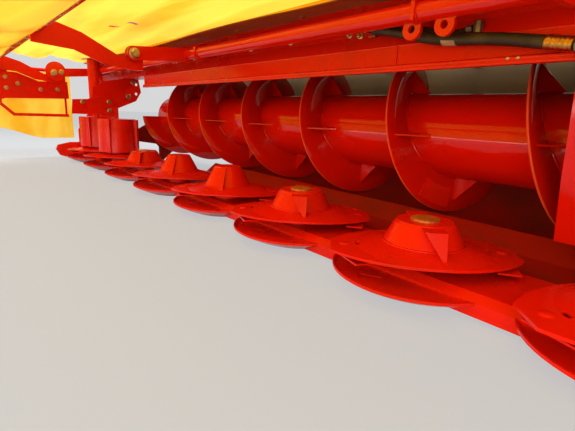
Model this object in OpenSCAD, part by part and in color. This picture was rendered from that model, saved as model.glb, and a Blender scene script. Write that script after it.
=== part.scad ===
// Side-mounted disc mower with a cross auger behind the cutter bar.
// Unit frame: +X along the cutter bar, -Y is the driving direction, +Z up, ground at 0.
// The hitch stands beside the left end of the cutter bar, ahead of it.

/* [Cutter bar] */
// Distance between two disc axes
disc_pitch = 432.5; // [425:0.5:445]
// Bar's end beyond half a pitch from the outer disc, outside the knife circle
bar_over = 66; // [62:1:75]
// Front edge of the bar, ahead of the disc axes
bar_front = 90; // [80:1:110]
// Rear edge of the bar, behind the disc axes
bar_rear = 150; // [130:1:170]
// Thickness of the closed bar
bar_h = 40; // [34:1:42]
// Thickness of the skid plates
skid_t = 8; // [5:1:9]
// Radius of the round skid lobe under each disc
lobe_r = 198; // [186:1:204]
// Centre of the lobe's arc, ahead of the disc axis
lobe_ahead = 8; // [0:1:14]
// Thickness of a lobe inside its raised rim
lobe_t = 22; // [14:1:26]
// Width of the perforated strip behind the bar
strip_w = 50; // [40:1:60]

/* [Discs] */
// Longer half of an oval disc
disc_long = 210; // [204:1:222]
// Shorter half of an oval disc
disc_short = 147; // [140:1:152]
// Half width of the cut-off tip of a disc
disc_tip = 41; // [36:1:52]
// Underside of a disc above the ground
disc_low = 70; // [68:1:78]
// Thickness of a disc's plate
rim_t = 6; // [5:1:8]
// Rise of a disc from its rim to its hub
disc_rise = 21; // [14:1:26]
// How far the long axis is turned at rest
disc_turn = 46; // [45:1:48]
// Radius of the low cap's foot
low_cap_r = 90; // [84:1:96]
// Height of the low cap over the disc
low_cap_h = 50; // [40:1:56]
// Radius of the high cap's foot
high_cap_r = 87; // [80:1:94]
// Height of the high cap over the disc
high_cap_h = 71; // [60:1:80]
// Height of a conveyor drum over the disc
drum_h = 203; // [180:1:210]
// Radius of a conveyor drum at its top
drum_r = 105; // [96:1:108]
// Reach of the ribs of a conveyor drum
drum_rib_r = 126; // [120:1:132]

/* [Knives] */
// Knife circle radius
knife_reach = 274; // [262:1:278]
// Width of a knife
knife_w = 46; // [40:1:50]
// Thickness of a knife
knife_t = 4; // [3:0.5:5]
// How far a knife is folded back under its disc at rest
knife_fold = 100; // [95:1:120]
// Distance of a knife bolt from the tip of its disc
knife_bolt_in = 33; // [28:1:36]
// Radius of a knife bolt
knife_bolt_r = 9; // [7:0.5:11]

/* [Auger] */
// Auger axis behind the disc axes
auger_y = 414; // [408:1:424]
// Auger axis above the ground
auger_z = 321; // [314:1:328]
// Outer radius of the flighting
flight_r = 236; // [220:1:238]
// Radius of the auger tube
tube_r = 128; // [115:0.5:136]
// Wall of the auger tube
tube_wall = 6; // [4:0.5:8]
// Advance of the flighting in one turn
flight_pitch = 390; // [360:1:430]
// Thickness of the flighting
flight_t = 6; // [4:1:8]
// Left end of the auger tube
auger_left = -1150; // [-1190:1:-1120]
// Length and height of the gussets that stay the flighting
gusset = 78; // [60:1:90]
// Radius of the auger's stub shafts
stub_r = 30; // [25:1:35]
// Running clearance of shafts and pins
run_gap = 0.3; // [0.2:0.1:0.5]

/* [Frame] */
// Front face of the main beam behind the disc axes
beam_y = 123; // [118:1:130]
// Depth of the main beam
beam_d = 110; // [90:1:115]
// Underside of the main beam's box
beam_low = 552; // [546:1:560]
// Height of the main beam's box
beam_box_h = 120; // [100:1:130]
// Wall of the main beam's box
beam_wall = 8; // [5:1:10]
// Crease of the front channel above the ground
crease_z = 550; // [540:1:556]
// Lower lip of the front channel above the ground
lip_z = 485; // [475:1:495]
// Left end of the front channel
channel_left = -890; // [-950:1:-800]
// Thickness of the end plates
plate_t = 8; // [6:1:12]
// Hinge tube of the guards, behind the disc axes
tube_y = 45; // [40:1:50]
// Hinge tube above the ground
tube_z = 604; // [598:1:610]
// Radius of the hinge tube
htube_r = 23; // [20:1:24]
// Left end of the auger's trough
trough_left = -450; // [-600:1:-300]
// Gap between the auger and its trough
trough_gap = 14; // [12:1:20]
// Thickness of trough and hood sheets
sheet_t = 4; // [3:0.5:6]
// Hinge of the rear flap behind the disc axes
flap_y = 705; // [700:1:720]
// Hinge of the rear flap above the ground
flap_z = 624; // [616:1:632]
// Lower edge of the rear flap above the ground
flap_low = 110; // [90:1:140]

/* [Guards] */
// Pivot line of the front guard, ahead of the disc axes
pivot_ahead = 196; // [190:1:202]
// Pivot line of the front guard above the ground
pivot_z = 582; // [578:1:588]
// Front edge of the front guard, ahead of the disc axes
guard_front = 930; // [880:1:960]
// Height of the tarp over the front guard
tarp_z = 680; // [674:1:690]
// Seam between the yellow tarp and the apron, behind the disc axes
seam_y = 25; // [10:1:40]
// Thickness of the tarps
tarp_t = 6; // [4:1:8]
// Lower edge of the front curtain
curtain_low = 230; // [200:1:300]
// Side guards' hinge outside the end plates
side_out = 62; // [55:1:75]
// Side guards' hinge above the ground
side_z = 602; // [596:1:608]
// Lower edge of the side tarps
side_low = 134; // [120:1:160]

/* [Boom and hitch] */
// Distance from the boom's lift hinge to the middle of the unit
boom_len = 1650; // [1620:1:1700]
// Boom, lift hinge and cylinder behind the disc axes
boom_y = 190; // [186:1:194]
// Lift hinge above the ground
lift_z = 950; // [940:1:980]
// Outer size of the square boom
boom_s = 140; // [120:1:150]
// Wall of the square boom
boom_wall = 10; // [6:1:12]
// Pivot of the unit under the boom, above the ground
unit_pivot_z = 730; // [725:1:740]
// Radius of the main pivot pins
pivot_pin_r = 20; // [16:1:24]
// Cylinder's base left of the lift hinge, away from the unit
cyl_back = 450; // [430:1:470]
// Cylinder's base above the lift hinge
cyl_up = 300; // [280:1:320]
// Rod's eye beyond the lift hinge
eye_out = 1250; // [1220:1:1280]
// Rod's eye above the lift hinge
eye_up = 150; // [140:1:160]
// Radius of the cylinder's barrel
barrel_r = 45; // [38:1:50]
// Radius of the piston rod
rod_r = 22; // [18:1:26]
// Vertical swing pivot left of the lift hinge
swing_left = 850; // [840:1:880]
// Vertical swing pivot ahead of the disc axes
swing_ahead = 850; // [830:1:880]
// Middle of the hitch, left of the swing pivot
hitch_left = 413; // [400:1:430]
// Lower hitch points ahead of the swing pivot
hitch_ahead = 260; // [240:1:280]
// Distance between the lower hitch points' middles
hitch_span = 825; // [820:1:870]
// Lower hitch points above the ground
hitch_z = 520; // [500:1:560]
// Top link's bore over the lower hitch points
mast_h = 610; // [600:1:640]
// Radius of the lower hitch pins
hitch_pin_r = 14; // [14:0.5:18.5]
// Radius of the top link's bore
top_bore_r = 12.8; // [12.8:0.1:16]
// Width of the square parking legs
leg_s = 60; // [50:1:70]
// Wall of the headstock's and the swing frame's boxes
hitch_wall = 10; // [8:1:14]

/* [Hose] */
// Radius of the hydraulic hose
hose_r = 13; // [11:0.5:14]
// Radius of its crimped ferrule
ferrule_r = 14; // [13:0.5:16]

/* [Hidden] */
$fn = 64;
disc_n = 8;

red = "#d3200c";
dark_red = "#a01408";
yellow = "#f2b705";
steel = "#8d8378";
rubber = "#2a1a0e";
brass = "#b98a3a";
beige = "#8a7050";

// Reach of the whole part, from which its origin is the middle of its footprint
bar_half = disc_n * disc_pitch / 2 + bar_over;
side_x = bar_half + plate_t + side_out;
loop_off = 12;
loop_r = 10;
tarp_off = loop_off + loop_r + 0.3;
right_end = side_x + tarp_off + tarp_t;
lift_x = -boom_len;
swing_x = lift_x - swing_left;
swing_y = -swing_ahead;
hitch_x = swing_x - hitch_left;
hitch_y = swing_y - hitch_ahead;
pin_len = 90;
left_end = hitch_x - hitch_span / 2 - pin_len;
front_end = hitch_y - 60;
flap_belly = 14;
sleeve_r = 18;
rear_end = flap_y + sleeve_r;
shift_x = -(left_end + right_end) / 2;
shift_y = -(front_end + rear_end) / 2;

bar_low = skid_t;
bar_top = bar_low + bar_h;
function disc_x(i) = disc_pitch * ((disc_n + 1) / 2 - i);
hub_r = 20;
disc_top = disc_low + rim_t + disc_rise;
knife_bolt_at = disc_long - knife_bolt_in;
lug_t = 6;
knife_z = disc_low - lug_t - knife_t;

// Solids along X from a profile of (y, z), and along Y from a profile of (x, z)
module along_x(x0, x1) { translate([x0, 0, 0]) rotate([90, 0, 90]) linear_extrude(x1 - x0) children(); }
module along_y(y0, y1) { translate([0, y1, 0]) rotate([90, 0, 0]) linear_extrude(y1 - y0) children(); }
module rod_x(x0, x1, y, z, r) { translate([x0, y, z]) rotate([0, 90, 0]) cylinder(h = x1 - x0, r = r); }
module rod_y(y0, y1, x, z, r) { translate([x, y0, z]) rotate([-90, 0, 0]) cylinder(h = y1 - y0, r = r); }
module block(low, high) { translate(low) cube(high - low); }
// Closed box section with its four walls and two ends
module box_section(low, high, wall) difference() {
  block(low, high);
  block(low + [wall, wall, wall], high - [wall, wall, wall]);
}

// Slot that lets water out of a lobe
module lobe_slot() linear_extrude(bar_h) {
  square([43, 12], center = true);
  for (s = [-1, 1]) translate([s * 21.5, 0]) circle(6);
}
module cutter_bar() color(red) {
  boss_r = 46;
  shaft_depth = 24;
  rim_up = 7;
  difference() {
    union() {
      along_x(-bar_half, bar_half) polygon([[-bar_front, bar_low], [-bar_front, bar_low + bar_h * 0.7],
        [-bar_front + 22, bar_top], [bar_rear - 30, bar_top], [bar_rear, bar_low + bar_h * 0.6],
        [bar_rear, bar_low]]);
      for (i = [1 : disc_n]) translate([disc_x(i), -lobe_ahead, bar_low]) difference() {
        rotate_extrude($fn = 128) polygon([[0, 0], [lobe_r - 48, 0], [lobe_r - 8, lobe_t - 4], [lobe_r, lobe_t + 1], [lobe_r, lobe_t + rim_up],
          [lobe_r - 4, lobe_t + rim_up], [lobe_r - 9, lobe_t], [0, lobe_t]]);
        block([-lobe_r - 1, lobe_ahead - bar_front + 10, -1], [lobe_r + 1, lobe_r + 1, bar_h]);
        translate([-33, lobe_ahead - 137, -1]) rotate([0, 0, 29]) lobe_slot();
      }
      for (i = [1 : disc_n]) translate([disc_x(i), 0, bar_top - 1]) cylinder(h = 11, r = boss_r);
      block([-bar_half, bar_rear - 1, bar_low], [bar_half, bar_rear + strip_w, bar_low + 8]);
    }
    for (i = [1 : disc_n]) translate([disc_x(i), 0, bar_top + 10 - shaft_depth])
      cylinder(h = shaft_depth + 1, r = hub_r + run_gap);
    for (i = [1 : disc_n]) for (k = [-1.5 : 1 : 1.5])
      translate([disc_x(i) + k * disc_pitch / 4, bar_rear + strip_w / 2, bar_low - 1])
        cylinder(h = 10, r = 9);
  }
}

module skids() color(dark_red) {
  skid_w = 300;
  for (i = [1 : disc_n]) translate([disc_x(i), -lobe_ahead, 0]) {
    rotate_extrude($fn = 128) polygon([[0, 0], [lobe_r - 70, 0], [lobe_r - 50, bar_low], [0, bar_low]]);
    block([-skid_w / 2, 0, 0], [skid_w / 2, bar_rear + lobe_ahead + strip_w - 10, bar_low]);
  }
}

module shoe(x0) along_x(x0, x0 + 30)
  polygon([[-215, 60], [-190, 14], [-140, 0], [150, 0], [190, 12], [190, 40], [120, 108], [-120, 108], [-200, 90]]);
module shoe_left() color(red) shoe(-bar_half - plate_t - 30);
module shoe_right() color(red) shoe(bar_half + plate_t);

channel_y = beam_y - 18;
module main_beam() color(red) {
  y0 = beam_y;
  y1 = beam_y + beam_d;
  z1 = beam_low + beam_box_h;
  difference() {
    along_x(-bar_half, bar_half) polygon([[y0, beam_low], [y1, beam_low], [y1, z1], [y0, z1]]);
    along_x(-bar_half - 1, bar_half + 1) polygon([[y0 + beam_wall, beam_low + beam_wall],
      [y1 - beam_wall, beam_low + beam_wall], [y1 - beam_wall, z1 - beam_wall], [y0 + beam_wall, z1 - beam_wall]]);
  }
  along_x(channel_left, bar_half) polygon([[y0 + 1, crease_z + 40], [channel_y, crease_z],
    [channel_y, lip_z + 18], [channel_y - 10, lip_z + 14], [channel_y - 10, lip_z], [channel_y + beam_wall, lip_z],
    [channel_y + beam_wall, crease_z - 2], [y0 + 1, crease_z + 24]]);
}

// Plate that carries a pivot ahead of the hinge tube
module pivot_ear(x) along_x(x, x + 12) {
  translate([-pivot_ahead, pivot_z]) circle(28);
  translate([tube_y, tube_z]) circle(htube_r + 3);
  polygon([[-pivot_ahead + 3, pivot_z - 27.5], [tube_y, tube_z - htube_r - 3], [tube_y, tube_z + htube_r + 3],
    [-pivot_ahead - 3, pivot_z + 27.5]]);
}
pivot_xs = [-1758, -193, 1370];
guard_pin_r = 12;
tube_end = bar_half + plate_t + 40;
bracket_z = crease_z + 42;
// Rod that the side guard turns on, held behind the guard's arms
module side_rod() {
  along_x(tube_end - 12, tube_end) polygon([[tube_y + htube_r, tube_z - htube_r], [tube_y + htube_r, tube_z + htube_r],
    [-84, side_z + 18], [-84, side_z - 18]]);
  block([tube_end - 12, -84, side_z - 18], [side_x + 14, -66, side_z + 18]);
  rod_y(-520, -66, side_x, side_z, guard_pin_r);
}
module hinge_tube() color(red) {
  rod_x(-tube_end, disc_x(disc_n) - post_r - 10, tube_y, tube_z, htube_r);
  rod_x(disc_x(disc_n) + post_r + 10, tube_end, tube_y, tube_z, htube_r);
  for (x = pivot_xs) pivot_ear(x);
  for (x = pivot_xs) rod_x(x - 16, x + 1, -pivot_ahead, pivot_z, guard_pin_r);
  for (x = [-1650, -880, -90, 970, 1650]) along_x(x, x + 10)
    polygon([[tube_y - htube_r - 4, tube_z - 20], [tube_y - htube_r - 4, tube_z + 20], [tube_y + 10, tube_z + 34],
      [beam_y, bracket_z + 56], [beam_y, bracket_z], [tube_y + 6, tube_z - htube_r - 8]]);
  along_x(pivot_xs[0] + 2, pivot_xs[0] + 8) translate([-pivot_ahead + 12, pivot_z + 10]) circle(64);
  for (x = [1045, 962]) along_y(tube_y - 5, tube_y + 5) difference() {
    union() {
      translate([x, tube_z - htube_r - 12]) circle(24);
      polygon([[x - 20, tube_z - htube_r - 4], [x + 20, tube_z - htube_r - 4], [x + 74, tube_z], [x - 20, tube_z]]);
    }
    translate([x, tube_z - htube_r - 12]) circle(9);
  }
  side_rod();
  mirror([1, 0, 0]) side_rod();
}

module end_plate_left() color(red) along_x(-bar_half - plate_t, -bar_half)
  polygon([[-60, bar_low + 4], [bar_rear, bar_low + 4], [beam_y + beam_d, 130],
    [beam_y + beam_d, beam_low + beam_box_h], [beam_y - 25, beam_low + beam_box_h],
    [beam_y - 25, 450], [-60, 200]]);
module end_plate_right() color(red) {
  difference() {
    union() {
      along_x(bar_half, bar_half + plate_t) polygon([[-60, bar_low + 4], [bar_rear + strip_w, bar_low + 4],
        [640, 60], [flap_y - 40, 200], [flap_y - 40, flap_z + 20], [beam_y + beam_d, beam_low + beam_box_h],
        [beam_y - 25, beam_low + beam_box_h], [beam_y - 25, 420], [-60, 200]]);
      rod_x(bar_half + plate_t - 1, bar_half + plate_t + 30, auger_y, auger_z, bearing_r);
    }
    rod_x(bar_half - 1, bar_half + plate_t + 32, auger_y, auger_z, stub_r + run_gap);
  }
}

// Two lapped plates that part the crop between the last two drums
module guide_plate() color(red) {
  lap_x = (disc_x(7) + disc_x(8)) / 2 - 40;
  along_x(lap_x - plate_t, lap_x) difference() {
    polygon([[-68, 403], [-62, 488], [8, 527], [beam_y, beam_low], [beam_y + beam_d, beam_low],
      [beam_y + beam_d + 14, 473], [210, 413], [91, 363]]);
    translate([217, 521]) circle(9);
    translate([214, 460]) circle(9);
  }
  along_x(lap_x, lap_x + plate_t)
    polygon([[-196, 320], [-186, 408], [-100, 413], [-40, 430], [8, 450], [60, 400], [60, 316]]);
}

module deflector() color(red) {
  y0 = beam_y + 3;
  t = 5;
  along_x(bar_half - 511, bar_half) polygon([[y0, beam_low], [y0 + 30, auger_z - 61], [y0 + 57, auger_z - 200],
    [y0 + 57 + t, auger_z - 199], [y0 + 30 + t, auger_z - 60], [y0 + t, beam_low]]);
}

// Sheet around the underside of the auger, from a to b degrees about its axis
module arc_sheet(r, t, a, b) intersection() {
  difference() { circle(r + t, $fn = 128); circle(r, $fn = 128); }
  polygon([[0, 0], for (k = [0 : 4]) 2 * r * [cos(a + (b - a) * k / 4), sin(a + (b - a) * k / 4)]]);
}
trough_r = flight_r + trough_gap;
module trough() color(dark_red) {
  a0 = 248;
  foot = [auger_y + trough_r * cos(a0), auger_z + trough_r * sin(a0)];
  ledge = bar_low + 8;
  fold = [bar_rear + strip_w, ledge] + 0.55 * (foot - [bar_rear + strip_w, ledge]) + [0, -14];
  along_x(trough_left, bar_half) {
    translate([auger_y, auger_z]) arc_sheet(trough_r, sheet_t, a0, 348);
    polygon([[bar_rear + 4, ledge], [bar_rear + strip_w, ledge], fold, foot + [3, -4], foot + [1, 1],
      fold + [-4, sheet_t], [bar_rear + strip_w, ledge + sheet_t], [bar_rear + 4, ledge + sheet_t]]);
  }
}

// Plate on the bar's rear strip that carries the auger's left bearing
bearing_r = 75;
module auger_bracket() color(dark_red) {
  x0 = auger_left - 18;
  difference() {
    along_x(x0, x0 + 10) union() {
      translate([auger_y, auger_z]) circle(bearing_r);
      polygon([[bar_rear + 4, bar_low + 8], [knife_reach + 26, bar_low + 8], [auger_y + 40, 150],
        [auger_y + bearing_r, auger_z], [auger_y - bearing_r, auger_z], [214, 272], [140, 230], [140, 160],
        [knife_reach - 2, 140], [knife_reach + 15, 120], [knife_reach + 15, knife_z - 12], [bar_rear + 4, knife_z - 12]]);
    }
    rod_x(x0 - 1, x0 + 11, auger_y, auger_z, stub_r + run_gap);
  }
  block([x0 + 9, bar_rear + 4, bar_low + 8], [x0 + 60, bar_rear + strip_w, bar_low + 8 + sheet_t]);
}

flap_pin_r = 10;
sleeve_xs = [auger_left + 10, -40, bar_half - 70];
module rear_hood() color(beige) {
  along_x(auger_left - 18, bar_half)
    polygon([[beam_y + beam_d, cover_z - 10], [beam_y + beam_d + 120, cover_z - 6],
      [flap_y - 60, flap_z + 8], [flap_y - 40, flap_z - 20], [flap_y - 36, flap_z - 18],
      [flap_y - 57, flap_z + 12], [beam_y + beam_d + 120, cover_z - 2], [beam_y + beam_d, cover_z - 6]]);
  for (x = sleeve_xs) along_x(x, x + 50) difference() {
    union() {
      translate([flap_y, flap_z]) circle(sleeve_r);
      polygon([[flap_y - 56, flap_z + 2], [flap_y - 4, flap_z - 8], [flap_y - 4, flap_z + 17], [flap_y - 58, flap_z + 11]]);
    }
    translate([flap_y, flap_z]) circle(flap_pin_r + run_gap);
  }
}

cover_z = beam_low + beam_box_h;
cover_front = -pivot_ahead - 83;
side_cut = 10;
// Flat cloth over the discs, notched where the guard's arms swing up and where the drive comes down
module cover_sheet(y0, y1) difference() {
  block([-bar_half + side_cut, y0, cover_z - tarp_t], [bar_half - side_cut, y1, cover_z]);
  for (x = pivot_xs) block([x - 24, cover_front - 1, cover_z - 20], [x + 4, -pivot_ahead + 25, cover_z + 5]);
  translate([gear_x, 0, cover_z - 20]) cylinder(h = 40, r = post_r + 4);
}
module cover_tarp() color(yellow) cover_sheet(cover_front, seam_y - 0.3);
module top_cover() color(beige) cover_sheet(seam_y, beam_y);

gear_x = disc_x(8);
gear_z = 800;
post_r = 40;
post_low = disc_top + drum_h + 40;
gear_low = cover_z + 10;
module gearbox() color(red) {
  block([gear_x - 76, -70, gear_low], [gear_x + 76, 90, gear_low + 220]);
  block([gear_x - 60, 89, gear_low], [gear_x + 60, beam_y + 10, gear_low + 80]);
  block([gear_x - 60, beam_y + 0.3, cover_z], [gear_x + 60, beam_y + beam_d - 10, gear_low + 80]);
  translate([gear_x, 0, post_low]) difference() {
    cylinder(h = gear_low + 1 - post_low, r = post_r);
    translate([0, 0, -1]) cylinder(h = 60, r = 26);
  }
  rod_x(gear_x - 76 - 80, gear_x - 75, 10, gear_z, 17.5);
}

// Route of the hose under the hinge tube, held at both ends
hose_route = [[812, 86, 592], [850, 86, 586], [890, 85, 577], [940, 84, 564], [1000, 84, 550], [1060, 84, 543],
  [1120, 84, 538], [1180, 84, 530], [1243, 84, 519]];
hose_sides = 8;
module hose() color(rubber) {
  n = len(hose_route) - 1;
  pts = [for (k = [0 : n]) let (d = hose_route[min(k + 1, n)] - hose_route[max(k - 1, 0)],
      up = cross(d, [0, 1, 0]) / norm(cross(d, [0, 1, 0])))
    for (j = [0 : hose_sides - 1]) let (a = 360 * j / hose_sides)
      hose_route[k] + hose_r * (cos(a) * up + sin(a) * [0, 1, 0])];
  faces = concat([[for (j = [0 : hose_sides - 1]) j]],
    [for (k = [0 : n - 1]) for (j = [0 : hose_sides - 1]) let (i = hose_sides * k, m = (j + 1) % hose_sides)
      [i + j, i + hose_sides + j, i + hose_sides + m, i + m]],
    [[for (j = [0 : hose_sides - 1]) hose_sides * (n + 1) - 1 - j]]);
  polyhedron(points = pts, faces = faces);
}
// Clip at the hose's left end, and its ferrule with the port that it enters
module hose_ends() {
  start = hose_route[0];
  end = hose_route[len(hose_route) - 1];
  color(steel) {
    block([start[0] - 28, start[1] - 16, start[2] - 14], [start[0] - 2.6, start[1] + 10, start[2] + 14]);
    block([start[0] - 24, start[1] + 9, crease_z + 41], [start[0] - 8, beam_y, start[2] + 12]);
  }
  color(brass) rod_x(end[0] + 2.7, end[0] + 50, end[1], end[2], ferrule_r);
  color(steel) {
    rod_x(end[0] + 49, end[0] + 66, end[1], end[2], ferrule_r - 2);
    block([end[0] + 65, end[1] - 20, lip_z + 20], [end[0] + 105, channel_y, end[2] + 20]);
  }
}

pivot_lug_t = 16;
module unit_pivot() color(red) {
  for (s = [-1, 1]) along_y(boom_y + s * 50 - pivot_lug_t / 2, boom_y + s * 50 + pivot_lug_t / 2) difference() {
    polygon([[-110, cover_z], [110, cover_z],
      [32, unit_pivot_z + 32], [-32, unit_pivot_z + 32]]);
    translate([0, unit_pivot_z]) circle(pivot_pin_r + run_gap);
  }
}

flight_from = auger_left + 10;
flight_to = bar_half - 40;
flight_steps = 32;
// The flighting starts at the front of its tube
flight_phase = 90;
module auger_tube() color(red) {
  difference() {
    rod_x(auger_left, bar_half - 20, auger_y, auger_z, tube_r);
    rod_x(auger_left + tube_wall, bar_half - 20 - tube_wall, auger_y, auger_z, tube_r - tube_wall);
  }
  for (k = [1 : floor((flight_to - gusset - flight_from) / flight_pitch * 4)])
    translate([flight_from + k * flight_pitch / 4 + flight_t - 3, auger_y, auger_z])
      rotate([flight_phase + 90 * k, 0, 0]) along_y(-2.5, 2.5)
        polygon([[0, tube_r - 3], [gusset, tube_r - 3], [0, tube_r + gusset]]);
  rod_x(auger_left - 20, auger_left + 1, auger_y, auger_z, stub_r);
  rod_x(bar_half - 21, bar_half + plate_t + 26, auger_y, auger_z, stub_r);
}

// Angle of the flighting at x: from the top to the front, the bottom and the back
function flight_angle(x) = flight_phase + 360 * (x - flight_from) / flight_pitch;
module auger_flight() color(red) translate([0, auger_y, auger_z]) {
  n = floor((flight_to - flight_from) / flight_pitch * flight_steps);
  rings = [for (k = [0 : n]) flight_from + k * flight_pitch / flight_steps];
  corner = [[tube_r - 2, 0], [flight_r, 0], [flight_r, flight_t], [tube_r - 2, flight_t]];
  pts = [for (x = rings) for (c = corner)
    [x + c[1], -c[0] * sin(flight_angle(x)), c[0] * cos(flight_angle(x))]];
  faces = concat([[0, 1, 2, 3]],
    [for (k = [0 : n - 1]) for (j = [0 : 3]) [4 * k + j, 4 * k + 4 + j, 4 * k + 4 + (j + 1) % 4, 4 * k + (j + 1) % 4]],
    [[4 * n + 3, 4 * n + 2, 4 * n + 1, 4 * n]]);
  polyhedron(points = pts, faces = faces, convexity = 20);
}

// Oval outline of a disc: two arcs with cut-off tips
module disc_outline() {
  arc_r = (disc_long * disc_long + (disc_short - disc_tip) * (disc_short - disc_tip))
    / (2 * (disc_short - disc_tip));
  intersection() {
    translate([0, disc_short - arc_r]) circle(arc_r, $fn = 128);
    translate([0, arc_r - disc_short]) circle(arc_r, $fn = 128);
    square([2 * disc_long, 2 * disc_short], center = true);
  }
}
module disc_plate() {
  slot_at = disc_long - 62;
  knee = disc_long - 60;
  difference() {
    intersection() {
      rotate_extrude($fn = 128) polygon([[0, disc_top - rim_t], [low_cap_r, disc_top - rim_t], [knee, disc_low + 6],
        [disc_long + 10, disc_low], [disc_long + 10, disc_low + rim_t], [knee, disc_low + 6 + rim_t],
        [low_cap_r + 2, disc_top], [0, disc_top]]);
      translate([0, 0, disc_low - 1]) linear_extrude(60) disc_outline();
    }
    for (s = [-1, 1]) translate([s * slot_at, 0, disc_low - 1]) linear_extrude(40) {
      translate([0, 8]) circle(6);
      translate([0, -8]) circle(6);
      square([12, 16], center = true);
    }
  }
  translate([0, 0, bar_top - 10]) cylinder(h = disc_top - bar_top + 6, r = hub_r);
  for (s = [-1, 1]) translate([s * knife_bolt_at, 0, disc_low - lug_t]) cylinder(h = lug_t + 6, r = 17);
}
// Cap over the hub: foot radius, top radius, height over the disc and width of its chamfer
module cap(foot_r, top_r, h, chamfer) rotate_extrude() polygon([[0, disc_top - 1], [foot_r, disc_top - 1],
  [top_r + chamfer, disc_top + h - chamfer], [top_r, disc_top + h], [0, disc_top + h]]);
// Two fins across the long axis, from a top width and reach to a foot width and reach, the foot set to one side
module cap_fins(h, top_w, top_reach, foot_w, foot_reach, foot_side) for (s = [0, 180]) rotate([0, 0, s + 90])
  intersection() {
    along_y(-top_w / 2, top_w / 2) polygon([[30, disc_top - 5], [foot_reach, disc_top - 10],
      [foot_reach, disc_top - 5], [top_reach, disc_top + h], [30, disc_top + h]]);
    along_x(0, foot_reach + 1) polygon([[foot_side - foot_w / 2, disc_top - 11], [foot_side + foot_w / 2, disc_top - 11],
      [top_w / 2, disc_top + h + 1], [-top_w / 2, disc_top + h + 1]]);
  }
module low_cap() {
  cap(low_cap_r, 62, low_cap_h, 6);
  translate([0, 0, disc_top]) cylinder(h = low_cap_h + 3, r = 29);
  cap_fins(low_cap_h - 3, 46, 103, 6, 120, 19);
}
module high_cap() {
  cap(high_cap_r, 47, high_cap_h, 3);
  cap_fins(high_cap_h - 2, 13, 56, 13, 112, 0);
}
module place_disc(i) translate([disc_x(i), 0, 0]) rotate([0, 0, disc_turn]) children();
module disc(i) color(red) place_disc(i) {
  disc_plate();
  if (i <= 3 || i == 6) low_cap();
  else if (i <= 5) high_cap();
  else translate([0, 0, disc_top - 1]) cylinder(h = 11, r = 70);
}
module knives(i) color(steel) place_disc(i) for (s = [0, 180]) rotate([0, 0, s])
  translate([knife_bolt_at, 0, knife_z]) rotate([0, 0, s == 0 ? -knife_fold : knife_fold + 15]) {
    difference() {
      translate([-24, -knife_w / 2, 0]) cube([knife_reach - knife_bolt_at + 24, knife_w, knife_t]);
      translate([0, 0, -1]) cylinder(h = knife_t + 2, r = knife_bolt_r);
    }
    translate([0, 0, -4]) cylinder(h = 4, r = 15);
    translate([0, 0, -4]) cylinder(h = knife_t + 4, r = knife_bolt_r);
  }
module drum(i) color(red) place_disc(i) {
  foot = disc_top + 10;
  top = disc_top + drum_h;
  difference() {
    translate([0, 0, foot]) cylinder(h = top - foot, r1 = drum_r + 8, r2 = drum_r);
    translate([0, 0, foot + 10]) cylinder(h = top - foot - 18, r = drum_r - 8);
  }
  for (a = [0 : 90 : 270]) rotate([0, 0, a]) block([drum_r - 5, -12, foot], [drum_rib_r, 12, top - 2]);
  if (i == 8) translate([0, 0, top - 9]) cylinder(h = 89, r = 22);
}

bar_back = pivot_ahead + 320;
bar_d = 40;
bar_z = pivot_z + 40;
bar_t = 30;
rail_r = 16;
outrigger_xs = [-1780, -700, 0, 700, 1740];
outrigger_w = 40;
weld_gap = 0.2;
module guard_frame() color(red) {
  side = tube_end - 24;
  for (x = pivot_xs) along_x(x - 15, x - 5) translate([-pivot_ahead, pivot_z]) difference() {
    union() {
      circle(30);
      polygon([[40, -62], [40, -20], [10, 25], [-32, -10], [-60, -12], [-188, 54], [-270, 78], [-357, 62],
        [-357, 1], [-218, -10], [-116, -50], [-12, -64]]);
    }
    circle(guard_pin_r + run_gap);
  }
  block([-side, -bar_back - bar_d, bar_z], [side, -bar_back, bar_z + bar_t]);
}
// Front rail of the guard
module guard_rail() color(red)
  rod_x(24 - tube_end, tube_end - 24, -guard_front, tarp_z - rail_r - 0.3, rail_r);
// Outriggers that are welded between the flat bar and the front rail
module guard_outriggers() color(red) {
  root = -bar_back - bar_d - weld_gap;
  tip = rail_r + weld_gap - guard_front;
  for (x = outrigger_xs) along_x(x, x + outrigger_w) polygon([[root, bar_z + 2], [tip, tarp_z - 38],
    [tip, tarp_z - 8], [root, bar_z + bar_t - 2]]);
}
module guard_tarp() color(yellow) {
  side = tube_end - 8;
  tarp_rear = -pivot_ahead - 98;
  along_x(-side, side) polygon([[tarp_rear, tarp_z], [-guard_front - 10, tarp_z], [-guard_front - 24, tarp_z - 22],
    [-guard_front - 26, curtain_low], [-guard_front - 26 - tarp_t, curtain_low],
    [-guard_front - 26 - tarp_t, tarp_z - 16], [-guard_front - 12, tarp_z + tarp_t], [tarp_rear, tarp_z + tarp_t]]);
}

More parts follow.
